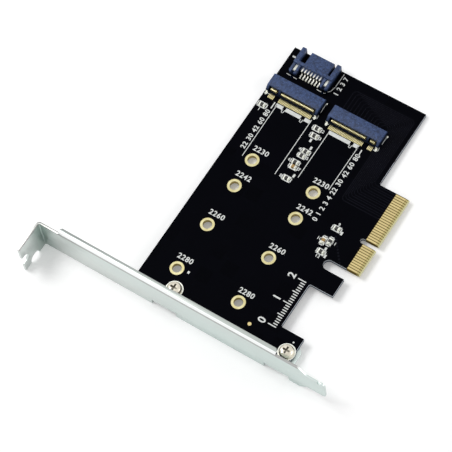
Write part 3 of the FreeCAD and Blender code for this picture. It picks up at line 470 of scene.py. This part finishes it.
# Where the bracket's looks change, in millimetres from its upper edge, its outer face and its fold
LIP_TOP, LIP_IN, LIP_REFLECTION_FADE = (-0.35, -0.15), (0.75, 0.95), (78.0, 40.0)
BEND_HIGHLIGHT_TOP, LINE_FOOT, LINE_TOP = (-1.1, -0.7), (-2.3, -2.0), (-0.9, -1.1)
FOLD_SHADE, FOLD_BACK = (8.0, 0.5), 0.9
LIP_REFLECTION_NEAR, LIP_REFLECTION_FAR, LIP_REFLECTION_STREAK = (0.13, 0.14, 0.14, 1), (0.42, 0.45, 0.42, 1), (0.50, 0.54, 0.52, 1)
FOLD_SHADE_COLOUR, LINE_COLOUR, BEND_HIGHLIGHT_COLOUR = (0.22, 0.32, 0.28, 1), (0.26, 0.22, 0.22, 1), (0.97, 0.98, 0.98, 1)


def steel_material(colours):
    """Satin zinc-plated sheet: drawn grain, a painted highlight on the bend over a thin dark line, a painted
    reflection of the dark board on the lip, and painted shade at the fold of the tab."""
    graph, surface, satin = metal_material(
        "steel_finish", colours.steel, (0.63, 0.66, 0.64, 1), rubbed=0.12, smooth=0.30, rough=0.44,
        relief=0.10, stretch=(1, 0.16, 1), patch=0.03)
    across, along, height = graph.axes(graph.place())
    far = corners("slot_bracket")[1]
    lip = graph.times(graph.step(height, LIP_TOP, far.z), graph.step(across, LIP_IN, BRACKET_FACE))
    # Painted reflection of the dark board on the lip: streaky, darkest towards the tab and lighter further
    # along
    reflection_streaks = graph.noise(graph.place((3.0, 0.05, 3.0)), 2.2)
    lip_reflection = graph.mix(graph.step(along, LIP_REFLECTION_FADE), LIP_REFLECTION_NEAR, LIP_REFLECTION_FAR)
    lip_reflection = graph.mix(reflection_streaks, lip_reflection, LIP_REFLECTION_STREAK)
    # Painted highlight: a near-white band along the bend just below the upper edge, off the lip
    bright = graph.times(graph.step(height, BEND_HIGHLIGHT_TOP, far.z), graph.math("SUBTRACT", 1.0, lip))
    line = graph.times(graph.step(height, LINE_FOOT, far.z), graph.step(height, LINE_TOP, far.z))
    # Painted shade: a green-grey darkening round the inner corner at the fold of the tab
    flat = graph.node("ShaderNodeCombineXYZ", None, {"X": across, "Y": along}).outputs[0]
    away = graph.distance((BRACKET_FACE, far.y - FOLD_BACK, 0), flat)
    shaded = graph.times(graph.step(away, FOLD_SHADE), 0.62)
    colour = graph.mix(shaded, satin, FOLD_SHADE_COLOUR)
    colour = graph.mix(graph.times(line, 0.6), colour, LINE_COLOUR)
    colour = graph.mix(graph.times(bright, 0.9), colour, BEND_HIGHLIGHT_COLOUR)
    graph.feed(surface, "Base Color", graph.mix(lip, colour, lip_reflection))


# Where the painted shade down the collars' bores starts, in millimetres from the board's two faces
BORE_SHADE_TOP, BORE_SHADE_FOOT = (0.04, -0.06), (-0.04, 0.06)


def collar_material():
    """Gold collars, pale on the rim, with painted shade down the hole."""
    graph, surface, plated = metal_material(
        "collar_finish", (0.66, 0.61, 0.36, 1), (0.54, 0.48, 0.24, 1), rubbed=0.3, smooth=0.25, rough=0.45,
        relief=0.2, patch=0.4)
    low, high = corners("circuit_board")
    height = graph.axes(graph.place())["Z"]
    # Painted shade: the plating inside the hole turns dark brown between the board's faces
    bore_shade = graph.times(graph.step(height, BORE_SHADE_TOP, high.z), graph.step(height, BORE_SHADE_FOOT, low.z))
    graph.feed(surface, "Base Color", graph.mix(bore_shade, plated, (0.40, 0.31, 0.10, 1)))


# Where the painted shade in a screw's recess lies, in millimetres from its reach, from the crown and from the
# board
RECESS_SHADE_EDGE, RECESS_SHADE_DOWN, RECESS_SHADE_ABOVE_BOARD = (0.02, -0.02), (-0.05, -0.5), (0.0, 0.3)


def nickel_material(colours):
    """Nickel-plated screws, with painted shade down the cross recess."""
    graph, surface, plated = metal_material(
        "nickel_finish", colours.nickel, scaled(colours.nickel, 1.2), rubbed=0.35, smooth=0.14, rough=0.34,
        relief=0.2, patch=0.5)
    across, along, height = graph.axes(graph.place())
    flat = graph.node("ShaderNodeCombineXYZ", None, {"X": across, "Y": along}).outputs[0]
    inside = 0.0
    for node in ("lower_bracket_screw", "upper_bracket_screw"):
        low, high = corners(node)
        away = graph.distance(flat, (*((low + high) / 2).xy, 0))
        inside = graph.math("ADD", inside, graph.step(away, RECESS_SHADE_EDGE, RECESS_REACH))
    # Painted shade: the head darkens within the recess's reach, below the crown
    deep = graph.times(inside, graph.step(height, RECESS_SHADE_DOWN, high.z))
    deep = graph.times(deep, graph.step(height, RECESS_SHADE_ABOVE_BOARD))
    graph.feed(surface, "Base Color", graph.mix(deep, plated, scaled(colours.nickel, 0.36)))


# Where painted shade darkens the drive socket's clips, in millimetres from their middle
CLIP_SHADE_EDGE = (0.5, -0.5)


def clip_material(colours):
    """Tinned clips, bright beside the wall, with painted shade where they go down their grooves."""
    graph, surface, bright = metal_material(
        "clip_finish", colours.tin, scaled(colours.tin, 0.82), rubbed=0.25, smooth=0.28, rough=0.5,
        relief=0.45, patch=0.9)
    low, high = corners("drive_socket_clips")
    # Painted shade: past their middle the clips turn a dark resin blue, as if deep in their grooves
    groove_shade = graph.step(graph.axes(graph.place())["X"], CLIP_SHADE_EDGE, (low.x + high.x) / 2)
    graph.feed(surface, "Base Color", graph.mix(groove_shade, bright, scaled(colours.resin, 0.1)))


# Middles of the two tan chips, and the edge round them, in millimetres
TAN_CHIPS = [(12.6, 43.2, 0.4), (-6.9, 18.3, 0.4)]
TAN_EDGE = (1.25, 1.15)


def chip_material(colours):
    """Dark chip bodies, and tan ones at two places."""
    graph, surface = shader("chip_finish")
    place = graph.place()
    near = 0.0
    for spot in TAN_CHIPS:
        near = graph.math("ADD", near, graph.step(graph.distance(place, spot), TAN_EDGE))
    body = graph.mix(near, list(colours.ceramic), list(colours.tan))
    finish = grain(graph, body, scaled(colours.ceramic, 1.8), scaled(colours.ceramic, 6), place,
                   patch_size=0.6, grain_size=6.0, speck_size=7.0, speck_amount=0.2,
                   smooth=0.35, rough=0.6, relief=0.3)
    dress(graph, surface, finish, graph.mix(near, finish["Colour"], body))


def ink_material(colours):
    """White print, a little uneven and thin in places."""
    graph, surface = shader("ink_finish")
    finish = grain(graph, list(colours.ink), scaled(colours.ink, 0.86), scaled(colours.ink, 0.7),
                   graph.place(), patch_size=0.8, grain_size=6.0, speck_size=6.0, speck_amount=0.3,
                   smooth=0.5, rough=0.75, relief=0.25)
    dress(graph, surface, finish, finish["Colour"])
    surface.inputs["Specular IOR Level"].default_value = 0.3


def build_materials():
    """Every finish, made once."""
    colours = bpy.context.scene.card_colours
    grain_group()
    wear_group()
    board_material(colours)
    track_material(colours)
    resin_material(colours)
    chip_material(colours)
    ink_material(colours)
    metal_material("fingers_finish", colours.gold, scaled(colours.gold, 0.86), rubbed=0.5, smooth=0.22,
                   rough=0.42, relief=0.2, stretch=(3.0, 0.35, 1))
    metal_material("contacts_finish", (0.86, 0.77, 0.46, 1), (0.72, 0.66, 0.34, 1), rubbed=0.2, smooth=0.2,
                   rough=0.4, relief=0.15, patch=0.5)
    collar_material()
    clip_material(colours)
    steel_material(colours)
    metal_material("pins_finish", (0.93, 0.92, 0.88, 1), (0.80, 0.79, 0.72, 1), rubbed=0.2, smooth=0.22,
                   rough=0.42, relief=0.2, patch=0.6)
    nickel_material(colours)
    metal_material("tin_finish", colours.tin, scaled(colours.tin, 0.82), rubbed=0.25, smooth=0.28,
                   rough=0.5, relief=0.45, patch=0.9)


def finish_of(key):
    """A finish by its short name."""
    return bpy.data.materials[key + "_finish"]


# Finish of each node that is kept as it came
NODE_FINISHES = {
    "circuit_board": "board", "front_contact_fingers": "fingers", "back_contact_fingers": "fingers",
    "chip_bodies": "chip", "chip_end_caps": "tin", "solder_pads": "tin", "marker_pad": "fingers",
    "drive_socket_contacts": "pins", "drive_socket_clips": "clip",
    "socket_b_front_contacts": "contacts", "socket_b_rear_contacts": "contacts", "socket_b_anchors": "tin",
    "socket_m_front_contacts": "contacts", "socket_m_rear_contacts": "contacts", "socket_m_anchors": "tin",
}


# Pieces

# Edges below the first angle are dissolved, those past the second rounded, those past the third shaded sharp
FLAT_ANGLE, ROUNDED_ANGLE, SHARP_ANGLE = math.radians(0.5), math.radians(32), math.radians(35)
MERGE_DISTANCE = 0.0005 * MM


def keep_piece(bm, name, finish, replaced=None, smooth=True):
    """Turns a finished bmesh into a piece that rides on the card."""
    bmesh.ops.recalc_face_normals(bm, faces=bm.faces)
    mesh = bpy.data.meshes.new(name)
    bm.to_mesh(mesh)
    bm.free()
    if not mesh.polygons:
        raise RuntimeError(f"{name} has no faces")
    for face in mesh.polygons:
        face.use_smooth = smooth
    if smooth:
        mesh.set_sharp_from_angle(angle=SHARP_ANGLE)
    mesh.materials.append(finish_of(finish))
    piece = bpy.data.objects.new(name, mesh)
    bpy.context.scene.collection.objects.link(piece)
    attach(piece, "root")
    if replaced:
        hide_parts(replaced)


def rounded_copy(node, name, width, finish, recess=0.0):
    """A copy of a CAD node with its sharp edges rounded, which stands for it. Edges above the board that lie
    within the reach of a recess stay sharp, because a rounded recess would cut through the rim round it."""
    low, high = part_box(node)
    middle = (low + high).xy / 2
    bm = bmesh.new()
    bm.from_mesh(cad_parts[node].data)
    bmesh.ops.remove_doubles(bm, verts=bm.verts, dist=MERGE_DISTANCE)
    bmesh.ops.dissolve_limit(bm, angle_limit=FLAT_ANGLE, verts=bm.verts, edges=bm.edges)
    sharp = [e for e in bm.edges if len(e.link_faces) == 2 and e.calc_face_angle(0) > ROUNDED_ANGLE
             and not all(v.co.z > 0 and (v.co.xy - middle).length < recess for v in e.verts)]
    bmesh.ops.bevel(bm, geom=sharp, offset=width, offset_type="OFFSET", affect="EDGES", segments=2,
                    profile=0.5, material=-1, clamp_overlap=True)
    keep_piece(bm, name, finish, node)


def stroke(bm, first, second, width, height, low=0.0, ends=12):
    """A raised stroke of print between two places, with round ends, or square ones where ends is 4."""
    run = Vector(second) - Vector(first)
    reach = width / 2 / math.cos(math.pi / ends)
    made = bmesh.ops.create_circle(bm, cap_ends=True, radius=reach, segments=ends,
                                   matrix=Matrix.Rotation(math.pi / ends, 4, "Z"))
    for vertex in made["verts"]:
        if vertex.co.x > 0:
            vertex.co.x += run.length
    faces = list({face for vertex in made["verts"] for face in vertex.link_faces})
    lifted = bmesh.ops.extrude_face_region(bm, geom=faces)
    top = [v for v in lifted["geom"] if isinstance(v, bmesh.types.BMVert)]
    bmesh.ops.translate(bm, verts=top, vec=(0, 0, height))
    place = Matrix.Translation((*first, low)) @ Matrix.Rotation(math.atan2(run.y, run.x), 4, "Z")
    bmesh.ops.transform(bm, matrix=place, verts=made["verts"] + top)


def strokes(bm, run, width, height, low=0.0, ends=12):
    """Raised strokes along a run of places in millimetres."""
    for first, second in zip(run, run[1:]):
        stroke(bm, Vector(first) * MM, Vector(second) * MM, width, height, low, ends)


def ring(bm, centre, inner, outer, low, high, steps=40):
    """A flat raised ring."""
    radii = [(inner, low), (inner, high), (outer, high), (outer, low)]
    corners = [bm.verts.new((centre[0] + r, centre[1], z)) for r, z in radii]
    edges = [bm.edges.new((corners[i], corners[(i + 1) % 4])) for i in range(4)]
    bmesh.ops.spin(bm, geom=corners + edges, cent=(*centre, 0), axis=(0, 0, 1), dvec=(0, 0, 0),
                   angle=math.tau, steps=steps, use_merge=True)


def mound(bm, centre, size):
    """A small mound of solder that stands on the board. Its centre and its size are in millimetres."""
    long, wide, tall = (part * MM for part in size)
    lie = Matrix.Translation((*(Vector(centre) * MM), tall / 2))
    lie = lie @ Matrix.Diagonal((long / 2, wide / 2, tall, 1))
    bmesh.ops.create_cone(bm, cap_ends=True, segments=12, radius1=1.0, radius2=0.45, depth=1.0, matrix=lie)


def contact_sides(node):
    """The two sides of each contact of a row, along the board, in millimetres."""
    sides = sorted({round(v.co.y / MM, 3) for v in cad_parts[node].data.vertices})
    return list(zip(sides[::2], sides[1::2]))


# The digits: their size and boldness for a height of 1, and the room between them
TYPE_SIZE, TYPE_WEIGHT, TYPE_ROOM = 1.38, 0.03, 1.12


def number_print(bm, text, place, height, thick, turn=0.0):
    """Adds plain numbers to a bmesh, as a solid print on the board. The place is in millimetres."""
    curve = bpy.data.curves.new("number", "FONT")
    curve.body = text
    curve.size = height * TYPE_SIZE
    curve.align_x, curve.align_y = "CENTER", "CENTER"
    curve.extrude = thick / 2
    curve.offset = height * TYPE_WEIGHT
    curve.space_character = TYPE_ROOM
    curve.resolution_u = 3
    holder = bpy.data.objects.new("number", curve)
    mesh = bpy.data.meshes.new_from_object(holder)
    lie = Matrix.Translation((*(Vector(place) * MM), thick / 2)) @ Matrix.Rotation(turn, 4, "Z")
    mesh.transform(lie)
    bm.from_mesh(mesh)
    bpy.data.meshes.remove(mesh)
    bpy.data.objects.remove(holder)
    bpy.data.curves.remove(curve)


class CARD_OT_finishes(Operator):
    """Makes every finish and gives each kept node its own."""

    bl_idname = "card.finishes"
    bl_label = "Finishes of the kept nodes"

    def execute(self, context):
        build_materials()
        collars = {name: "collar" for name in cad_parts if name.startswith("hole_ring")}
        for name, key in {**NODE_FINISHES, **collars}.items():
            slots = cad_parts[name].material_slots
            if not slots:
                raise RuntimeError(f"{name} has no material slot")
            for each in slots:
                each.material = finish_of(key)
        return {"FINISHED"}


class CARD_OT_housings(Operator):
    """Makes the moulded housings of the three sockets with rounded edges."""

    bl_idname = "card.housings"
    bl_label = "Moulded housings"

    def execute(self, context):
        width = context.scene.card_edges.resin
        for node in ("socket_b_housing", "socket_m_housing", "drive_socket_housing"):
            rounded_copy(node, node.replace("housing", "moulding"), width, "resin")
        return {"FINISHED"}


class CARD_OT_bracket(Operator):
    """Makes the folded slot bracket with broken edges."""

    bl_idname = "card.bracket"
    bl_label = "Folded bracket"

    def execute(self, context):
        width = context.scene.card_edges.sheet
        rounded_copy("slot_bracket", "folded_bracket", width, "steel")
        return {"FINISHED"}


# The tinned ring round each screw, in millimetres: its inner and outer radius and its height
SCREW_RING = (2.0, 3.3, 0.025)


class CARD_OT_screws(Operator):
    """Makes the two bracket screws with rounded edges, and the tinned ring round each."""

    bl_idname = "card.screws"
    bl_label = "Bracket screws"

    def execute(self, context):
        width = context.scene.card_edges.screw
        inner, outer, height = (size * MM for size in SCREW_RING)
        bm = bmesh.new()
        for node in ("lower_bracket_screw", "upper_bracket_screw"):
            name = node.replace("bracket_", "") + "_nickel"
            rounded_copy(node, name, width, "nickel", RECESS_REACH * MM)
            low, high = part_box(node)
            ring(bm, ((low.x + high.x) / 2, (low.y + high.y) / 2), inner, outer, 0.0, height)
        keep_piece(bm, "screw_pads", "tin")
        return {"FINISHED"}


# Half the height and half the reach of a hooked notch, in millimetres
NOTCH_SIDE, NOTCH_DEEP = 0.42, 0.55


class CARD_OT_outline_print(Operator):
    """Prints the module outlines, the bars and the drive socket's outline."""

    bl_idname = "card.outline_print"
    bl_label = "Printed outlines"

    def execute(self, context):
        sizes = context.scene.card_print
        bm = bmesh.new()
        for run in OUTLINE_RUNS:
            strokes(bm, run, sizes.line, sizes.height)
        for first, second, width in BARS:
            way = (Vector(second) - Vector(first)).normalized() * width / 2
            strokes(bm, [Vector(first) + way, Vector(second) - way], width * MM, sizes.height, ends=4)
        for across, along in NOTCHES:
            near, far = across + NOTCH_DEEP, across - NOTCH_DEEP
            low, high = along - NOTCH_SIDE, along + NOTCH_SIDE
            strokes(bm, [(near, high), (far, high), (far, low), (near, low)], sizes.line, sizes.height)
        keep_piece(bm, "outline_print", "ink", smooth=False)
        return {"FINISHED"}


# Half the width of a small square beside the chips and its height, in millimetres
MARK_REACH, MARK_HEIGHT = 0.3, 0.8


class CARD_OT_chip_print(Operator):
    """Prints the frames and small squares round the chips."""

    bl_idname = "card.chip_print"
    bl_label = "Printed chip frames"

    def execute(self, context):
        sizes = context.scene.card_print
        bm = bmesh.new()
        for across, along, wide, deep in CHIP_FRAMES:
            x0, x1, y0, y1 = across - wide / 2, across + wide / 2, along - deep / 2, along + deep / 2
            strokes(bm, [(x0, y0), (x1, y0), (x1, y1), (x0, y1), (x0, y0)], sizes.chip_line, sizes.height)
        for across, along in CHIP_MARKS:
            ends = [(across - MARK_REACH, along), (across + MARK_REACH, along)]
            strokes(bm, ends, MARK_HEIGHT * MM, sizes.height, ends=4)
        keep_piece(bm, "chip_print", "ink", smooth=False)
        return {"FINISHED"}


class CARD_OT_numbers(Operator):
    """Prints the plain numbers beside the holes, the outlines and the chips."""

    bl_idname = "card.numbers"
    bl_label = "Printed numbers"

    def execute(self, context):
        sizes = context.scene.card_print
        bm = bmesh.new()
        for text, across, along in HOLE_NUMBERS:
            number_print(bm, text, (across, along), sizes.digits, sizes.height, -math.pi / 2)
        for text, across, along, height in LONG_NUMBERS:
            number_print(bm, text, (across, along), height * MM, sizes.height)
        for text, across, along in CHIP_NUMBERS:
            number_print(bm, text, (across, along), sizes.chip_digits, sizes.height, -math.pi / 2)
        keep_piece(bm, "printed_numbers", "ink", smooth=False)
        return {"FINISHED"}


# The ruler, in millimetres: its zero mark and its foot, its ticks and its digits
RULER_ZERO, RULER_FOOT, RULER_LONG = -44.0, 15.0, 20
TICK_OF_TEN, TICK_OF_FIVE, TICK_OF_ONE, TICK_WIDTH = 3.0, 2.2, 1.4, 0.4
RULER_DIGIT, RULER_DIGIT_ALONG = 3.0, 20.6


class CARD_OT_ruler(Operator):
    """Prints a plain two-centimetre ruler near the lower edge."""

    bl_idname = "card.ruler"
    bl_label = "Printed ruler"

    def execute(self, context):
        sizes = context.scene.card_print
        bm = bmesh.new()
        for tick in range(RULER_LONG + 1):
            tall = TICK_OF_TEN if tick % 10 == 0 else TICK_OF_FIVE if tick % 5 == 0 else TICK_OF_ONE
            across = RULER_ZERO + tick
            strokes(bm, [(across, RULER_FOOT), (across, RULER_FOOT + tall)], TICK_WIDTH * MM, sizes.height)
        for tick in range(0, RULER_LONG + 1, 10):
            place = (RULER_ZERO + tick, RULER_DIGIT_ALONG)
            number_print(bm, str(tick // 10), place, RULER_DIGIT * MM, sizes.height)
        keep_piece(bm, "printed_ruler", "ink", smooth=False)
        return {"FINISHED"}


# A front contact's curved arm, in millimetres: its root's distance from the module's end and its sizes, then
# its top's height, where the top is as a share of the reach, and how the arm falls before and after it
ARM_ROOT, ARM_REACH, ARM_WIDTH, ARM_THICK = 2.78, 1.6, 0.26, 0.1
ARM_TOP, ARM_TOP_AT, ARM_FALL_BEFORE, ARM_FALL_AFTER = 1.88, 0.3, 2.4, 0.7


class CARD_OT_contact_arms(Operator):
    """Adds the curved upper arm of every front contact, between the sill and the cover."""

    bl_idname = "card.contact_arms"
    bl_label = "Curved contact arms"

    def execute(self, context):
        for row in ("b", "m"):
            bm = bmesh.new()
            for low, high in contact_sides(f"socket_{row}_front_contacts"):
                made = bmesh.ops.create_grid(bm, x_segments=7, y_segments=1, size=0.5)
                for vertex in made["verts"]:
                    share = vertex.co.x + 0.5
                    fall = ARM_FALL_BEFORE if share < ARM_TOP_AT else ARM_FALL_AFTER
                    across = SOCKET_EDGE - ARM_ROOT + ARM_REACH * share
                    along = (low + high) / 2 + vertex.co.y * ARM_WIDTH
                    vertex.co = Vector((across, along, ARM_TOP - fall * (share - ARM_TOP_AT) ** 2)) * MM
            bmesh.ops.solidify(bm, geom=bm.faces, thickness=ARM_THICK * MM)
            keep_piece(bm, f"socket_{row}_contact_arms", "contacts")
        return {"FINISHED"}


# Mounds of solder on a tail, beside an anchor and at the end of a chip along the board, in millimetres
TAIL_MOUND, ANCHOR_MOUND, CHIP_MOUND = (1.0, 0.8, 0.28), (0.95, 0.95, 0.28), (1.2, 0.5, 0.42)
# How far a mound lies from a tail's tip or an anchor's face, from an anchor's end and from a chip's middle
MOUND_IN, ANCHOR_IN, CHIP_END = 0.3, 0.45, 1.06


class CARD_OT_solder(Operator):
    """Adds the plated pads below the module sockets' front tails, and the solder at the drive socket's
    contacts, the module sockets' anchors and the chips' ends."""

    bl_idname = "card.solder"
    bl_label = "Pads and solder"

    def execute(self, context):
        sizes = context.scene.card_solder
        pads = bmesh.new()
        solder = bmesh.new()
        for row in ("b", "m"):
            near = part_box(f"socket_{row}_front_contacts")[0].x
            for low, high in contact_sides(f"socket_{row}_front_contacts"):
                middle = (low + high) / 2 * MM
                stroke(pads, (near - sizes.pad_before, middle), (near + sizes.pad_under, middle),
                       sizes.pad_width, sizes.pad_height, ends=4)
        tip = corners("drive_socket_contacts")[0].x
        for low, high in contact_sides("drive_socket_contacts"):
            mound(solder, (tip + MOUND_IN, (low + high) / 2), TAIL_MOUND)
        for spot in ANCHOR_DOTS:
            mound(solder, spot, ANCHOR_MOUND)
        for node in ("socket_b_anchors", "socket_m_anchors"):
            low, high = corners(node)
            for along in (low.y + ANCHOR_IN, high.y - ANCHOR_IN):
                mound(solder, (low.x + MOUND_IN, along), ANCHOR_MOUND)
        for across, along, wide, deep in CHIP_FRAMES:
            long, short, tall = CHIP_MOUND
            for end in (-CHIP_END, CHIP_END):
                if deep > wide:
                    mound(solder, (across, along + end), (long, short, tall))
                else:
                    mound(solder, (across + end, along), (short, long, tall))
        keep_piece(pads, "contact_pads", "contacts", smooth=False)
        keep_piece(solder, "solder_joints", "tin")
        return {"FINISHED"}


# Coated tracks, in millimetres: their height, where they leave the fingers, and the cut of their corners
TRACK_HEIGHT, TRACK_FOOT, TRACK_CORNER = 0.012, 5.7, 0.9
# Tracks of the component side: how many, the first one's finger, a shift of every other one, and their end
# across, then the first one's low bend, far bend and top, each with the step to the next track
FRONT_TRACKS, FRONT_FINGER, FRONT_SHIFT, FRONT_STOP = 12, 21.4, 0.12, 42.3
FRONT_BENDS = (14.6, 0.62), (50.6, -0.62), (40.2, -1.45)
# Tracks of the solder side: how many, then the first one's finger, bend, slant and top, each with its step
UNDER_TRACKS = 9
UNDER_BENDS = (-11.4, 1.0), (12.4, 0.8), (12.0, -0.6), (44.0, -1.0)
# Plugged holes: radii, sides, height on the solder and the component side, and how far below a bend
PLUG_INNER, PLUG_OUTER, PLUG_SIDES, PLUG_UNDER, PLUG_ABOVE, PLUG_BELOW = 0.12, 0.36, 14, 0.02, 0.014, 3.6


class CARD_OT_tracks(Operator):
    """Raises the coated copper tracks and the small plugged holes on both sides of the board."""

    bl_idname = "card.tracks"
    bl_label = "Coated tracks"

    def execute(self, context):
        width = context.scene.card_print.track
        bm = bmesh.new()
        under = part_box("circuit_board")[0].z
        for number in range(FRONT_TRACKS):
            finger = FRONT_FINGER - number - FRONT_SHIFT * (number % 2)
            low, far, top = (first + number * step for first, step in FRONT_BENDS)
            run = [(finger, TRACK_FOOT), (finger, low - TRACK_CORNER), (finger + TRACK_CORNER, low),
                   (far - TRACK_CORNER, low), (far, low + TRACK_CORNER), (far, top - TRACK_CORNER),
                   (far - TRACK_CORNER, top), (FRONT_STOP, top)]
            strokes(bm, run, width, TRACK_HEIGHT * MM, ends=8)
        for number in range(UNDER_TRACKS):
            finger, low, slant, top = (first + number * step for first, step in UNDER_BENDS)
            run = [(finger, TRACK_FOOT), (finger, low), (finger + slant, low + slant), (finger + slant, top)]
            strokes(bm, run, width, TRACK_HEIGHT * MM, under - TRACK_HEIGHT * MM, 8)
            for place in (run[0], run[-1]):
                self.plug(bm, place, under - PLUG_UNDER * MM, under)
            self.plug(bm, (finger, low - PLUG_BELOW), 0.0, PLUG_ABOVE * MM)
        keep_piece(bm, "coated_tracks", "track", smooth=False)
        return {"FINISHED"}

    def plug(self, bm, place, low, high):
        """The rim of a small hole that the coating fills."""
        ring(bm, Vector(place) * MM, PLUG_INNER * MM, PLUG_OUTER * MM, low, high, PLUG_SIDES)


# Floor: half its side and its gap below the card, in metres, and the two tones that vary over it
FLOOR_HALF, FLOOR_GAP = 1.6, 0.00005
FLOOR_TONES = (0.90, 0.90, 0.90, 1), (0.92, 0.92, 0.92, 1)
# Lamps: name of the lamp and its power, place and width in metres, and what they are aimed at
LAMPS = [("key", (-0.08, 0.46, 0.58), 0.32), ("fill", (0.22, -0.55, 0.32), 0.5)]
LAMP_AIM = (-0.01, 0.04, 0)
WHITE = (1, 1, 1, 1)


class CARD_OT_studio(Operator):
    """Sets the camera, the white floor, the even light and the lamps."""

    bl_idname = "card.studio"
    bl_label = "Camera, floor and lamps"

    def execute(self, context):
        context.scene.view_settings.view_transform = "Standard"
        self.camera(context)
        self.floor(context)
        self.light(context)
        return {"FINISHED"}

    def camera(self, context):
        """The camera at the picture's viewing angle."""
        studio = context.scene.card_studio
        lens = bpy.data.cameras.new("view")
        lens.lens = studio.lens
        lens.clip_start, lens.clip_end = 0.05, 20.0
        camera = bpy.data.objects.new("view", lens)
        camera.location, camera.rotation_euler = studio.camera_place, studio.camera_turn
        context.scene.collection.objects.link(camera)
        context.scene.camera = camera

    def floor(self, context):
        """The floor, tilted so that the bracket and the board's far edge both stand on it."""
        bm = bmesh.new()
        bmesh.ops.create_grid(bm, x_segments=8, y_segments=8, size=FLOOR_HALF)
        bracket_low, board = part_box("slot_bracket")[0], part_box("circuit_board")
        low = min(bracket_low.z, board[0].z)
        tilt = -math.atan2(board[0].z - low, board[1].x - bracket_low.x)
        lie = Matrix.Translation((bracket_low.x, 0, low - FLOOR_GAP)) @ Matrix.Rotation(tilt, 4, "Y")
        bmesh.ops.transform(bm, matrix=lie, verts=bm.verts)
        mesh = bpy.data.meshes.new("floor")
        bm.to_mesh(mesh)
        bm.free()
        floor = bpy.data.objects.new("floor", mesh)
        context.scene.collection.objects.link(floor)
        graph, surface = shader("white_floor")
        tone = graph.mix(graph.noise(graph.place(), 0.01, detail=2.0), *FLOOR_TONES)
        graph.feed(surface, "Base Color", tone)
        surface.inputs["Roughness"].default_value = 0.9
        surface.inputs["Specular IOR Level"].default_value = 0.0
        surface.inputs["Emission Color"].default_value = WHITE
        lift = graph.times(graph.seen(), context.scene.card_studio.floor_lift)
        graph.feed(surface, "Emission Strength", lift)
        mesh.materials.append(bpy.data.materials["white_floor"])

    def light(self, context):
        """The even light of the world, white where it is seen, and the lamps."""
        studio = context.scene.card_studio
        world = bpy.data.worlds.new("studio")
        context.scene.world = world
        world.use_nodes = True
        world.node_tree.nodes.clear()
        graph = Graph(world.node_tree)
        level = graph.math("MULTIPLY_ADD", graph.seen(), 1.0 - studio.daylight, studio.daylight)
        sky = graph.node("ShaderNodeBackground", None, {"Color": WHITE, "Strength": level})
        graph.node("ShaderNodeOutputWorld", None, {"Surface": sky.outputs[0]})
        for name, place, size in LAMPS:
            lamp = bpy.data.lights.new(name, "AREA")
            lamp.shape, lamp.size, lamp.energy = "DISK", size, getattr(studio, name)
            holder = bpy.data.objects.new(name, lamp)
            holder.location = place
            aim = Vector(LAMP_AIM) - Vector(place)
            holder.rotation_euler = aim.to_track_quat("-Z", "Y").to_euler()
            context.scene.collection.objects.link(holder)


class CARD_PT_panel(Panel):
    """Lists the card's sizes, colours and making steps."""

    bl_label = "Adapter card"
    bl_idname = "CARD_PT_panel"
    bl_space_type = "VIEW_3D"
    bl_region_type = "UI"
    bl_category = "Card"

    def draw(self, context):
        for group in GROUPS:
            box = self.layout.box()
            box.label(text=GROUPS[group].__doc__)
            for name in GROUPS[group].__annotations__:
                box.prop(getattr(context.scene, group), name)
        for step in STEPS:
            self.layout.operator(step.bl_idname)


GROUPS = {
    "card_print": CardPrint, "card_solder": CardSolder, "card_edges": CardEdges,
    "card_colours": CardColours, "card_studio": CardStudio,
}
STEPS = (
    CARD_OT_studio, CARD_OT_finishes, CARD_OT_housings, CARD_OT_bracket, CARD_OT_screws, CARD_OT_contact_arms,
    CARD_OT_solder, CARD_OT_tracks, CARD_OT_outline_print, CARD_OT_chip_print, CARD_OT_numbers, CARD_OT_ruler,
)
CLASSES = (*GROUPS.values(), *STEPS, CARD_PT_panel)


def register():
    for each in CLASSES:
        bpy.utils.register_class(each)
    for name, group in GROUPS.items():
        setattr(bpy.types.Scene, name, PointerProperty(type=group))


def unregister():
    for name in GROUPS:
        delattr(bpy.types.Scene, name)
    for each in reversed(CLASSES):
        bpy.utils.unregister_class(each)


def main():
    """Makes everything in order."""
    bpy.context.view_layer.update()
    register()
    for step in STEPS:
        family, name = step.bl_idname.split(".")
        getattr(getattr(bpy.ops, family), name)()


if __name__ == "__main__":
    main()
